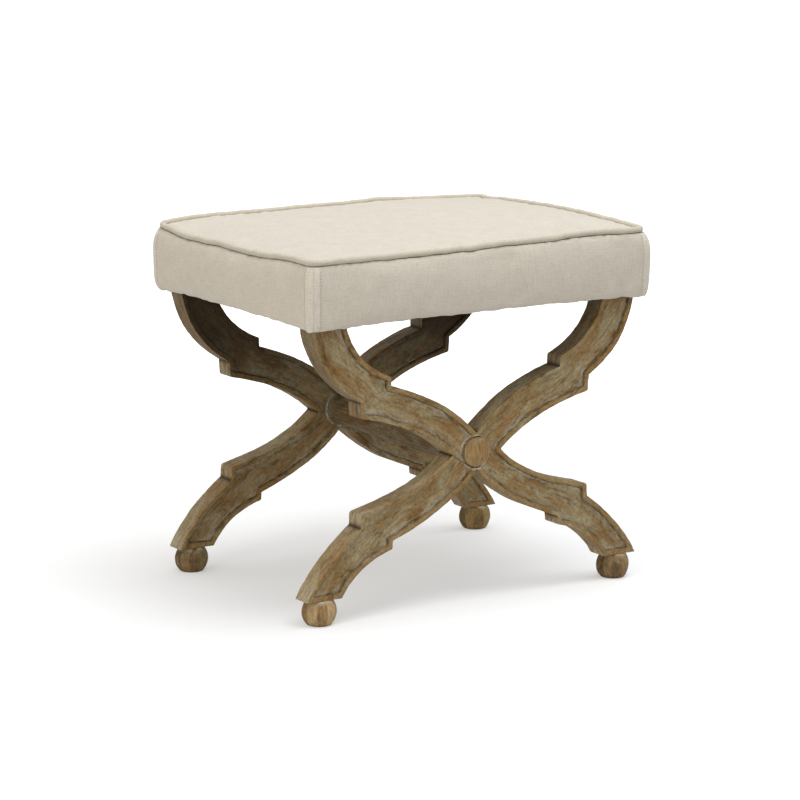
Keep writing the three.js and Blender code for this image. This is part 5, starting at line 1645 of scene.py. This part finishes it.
class STOOL_OT_frame_finish(bpy.types.Operator):
    """Give the rails, dowels, deck and screws their finishes"""
    bl_idname = "stool.frame_finish"
    bl_label = "Seat frame finishes"

    def execute(self, context):
        pine = "#B98F58", "#D0AC78", "#E0C596"
        beech = "#C09A6C", "#D2AF82", "#DFC29A"
        birch = "#B79362", "#CDAE80", "#DCC49C"
        finishes = {
            ("rail_front", "rail_rear"):
                plain_wood("planed pine along the seat", pine, ALONG_SEAT, 2.0, 7, 0.62),
            ("rail_left", "rail_right", "corner_block"):
                plain_wood("planed pine across the seat", pine, ACROSS_SEAT, 2.0, 7, 0.62),
            ("foot_dowel",): plain_wood("beech dowel upright", beech, UPRIGHT, 1.2, 3, 0.5),
            ("rail_dowel",): plain_wood("beech dowel across", beech, ACROSS_SEAT, 1.2, 3, 0.5),
            ("deck_board",): plain_wood("birch plywood", birch, ALONG_SEAT, 2.6, 12, 0.6),
            ("coach_screw", "washer", "leg_screw", "deck_screw"): zinc_steel(),
        }
        for name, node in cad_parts.items():
            for starts, material in finishes.items():
                if name.startswith(starts):
                    node.data.materials.clear()
                    node.data.materials.append(material)
        return {"FINISHED"}


# The camera that was fitted to the photograph: degrees round the stool and upwards, then metres
LENS, AZIMUTH, ELEVATION = 150.90, -32.567, 11.328
DISTANCE, AIM = 4.91607, (-0.002254, 0.0, 0.261383)
# Each lamp: its sides, its place and its colour. Both are aimed at the same place.
KEY_LAMP = ((2.0, 2.0), (0.45, -0.5, 3.2), (0.9, 0.94, 1.0))
FILL_LAMP = ((1.4, 1.2), (-3.45, -1.35, 1.3), (1.0, 0.9, 0.76))
LAMP_AIM = (0, 0, 0.3)
FLOOR_HALF = 30.0


def add_lamp(name, power, sides, place, colour):
    """A rectangular lamp that faces the stool."""
    data = bpy.data.lights.new(name, "AREA")
    data.shape = "RECTANGLE"
    data.size, data.size_y = sides
    data.energy = power
    data.color = colour
    lamp = bpy.data.objects.new(name, data)
    lamp.location = place
    lamp.rotation_euler = (Vector(LAMP_AIM) - Vector(place)).to_track_quat("-Z", "Y").to_euler()
    bpy.context.scene.collection.objects.link(lamp)


class STOOL_OT_stage(bpy.types.Operator):
    """Set up the floor, the lamps and the camera"""
    bl_idname = "stool.stage"
    bl_label = "Stage"

    def execute(self, context):
        scene = context.scene
        look = scene.stool_look
        mesh = bpy.data.meshes.new("studio floor")
        corners = np.append(CORNER_SIGNS * FLOOR_HALF, np.zeros((4, 1)), axis=1)
        mesh.from_pydata(corners.tolist(), [], [(0, 1, 2, 3)])
        floor = bpy.data.objects.new("studio_floor", mesh)
        scene.collection.objects.link(floor)
        floor.data.materials.append(studio_floor())

        add_lamp("key lamp", look.key_power, *KEY_LAMP)
        add_lamp("fill lamp", look.fill_power, *FILL_LAMP)

        world = bpy.data.worlds.new("studio air")
        scene.world = world
        world.use_nodes = True
        tree = world.node_tree
        tree.nodes.clear()
        plain, white = [add_node(tree, "Background", {"Color": colour, "Strength": strength})
                        for colour, strength in (((*look.sky_colour, 1.0), look.sky_level), (grey(1), 1.0))]
        mixed = add_node(tree, "MixShader", {0: seen_directly(tree), 1: plain[0], 2: white[0]})
        add_node(tree, "OutputWorld", {"Surface": mixed[0]})

        camera = bpy.data.cameras.new("camera")
        camera.lens = LENS
        camera.sensor_width = 36.0
        camera.clip_end = 100.0
        view = bpy.data.objects.new("camera", camera)
        azimuth, elevation = math.radians(AZIMUTH), math.radians(ELEVATION)
        back = Vector((math.sin(azimuth) * math.cos(elevation), -math.cos(azimuth) * math.cos(elevation),
                       math.sin(elevation)))
        view.location = Vector(AIM) + back * DISTANCE
        view.rotation_euler = (-back).to_track_quat("-Z", "Y").to_euler()
        scene.collection.objects.link(view)
        scene.camera = view
        scene.view_settings.view_transform = "Standard"
        return {"FINISHED"}


class STOOL_PT_panel(bpy.types.Panel):
    """Buttons for the pieces of the stool"""
    bl_idname = "STOOL_PT_panel"
    bl_label = "X frame stool"
    bl_space_type = "VIEW_3D"
    bl_region_type = "UI"
    bl_category = "Stool"

    def draw(self, context):
        layout = self.layout
        for group in (context.scene.stool_sizes, context.scene.stool_look):
            box = layout.box()
            for name in group.__annotations__:
                box.prop(group, name)
        for operator in OPERATORS:
            layout.operator(operator.bl_idname)


OPERATORS = (STOOL_OT_legs, STOOL_OT_feet, STOOL_OT_roundels, STOOL_OT_stretcher, STOOL_OT_cushion,
             STOOL_OT_underside, STOOL_OT_frame_finish, STOOL_OT_stage)
CLASSES = (StoolSizes, StoolLook, *OPERATORS, STOOL_PT_panel)


def register():
    for cls in CLASSES:
        bpy.utils.register_class(cls)
    bpy.types.Scene.stool_sizes = PointerProperty(type=StoolSizes)
    bpy.types.Scene.stool_look = PointerProperty(type=StoolLook)


def unregister():
    del bpy.types.Scene.stool_look
    del bpy.types.Scene.stool_sizes
    for cls in reversed(CLASSES):
        bpy.utils.unregister_class(cls)


def main():
    """Builds every piece in order."""
    register()
    for operator in OPERATORS:
        group, name = operator.bl_idname.split(".")
        getattr(getattr(bpy.ops, group), name)()


if __name__ == "__main__":
    main()
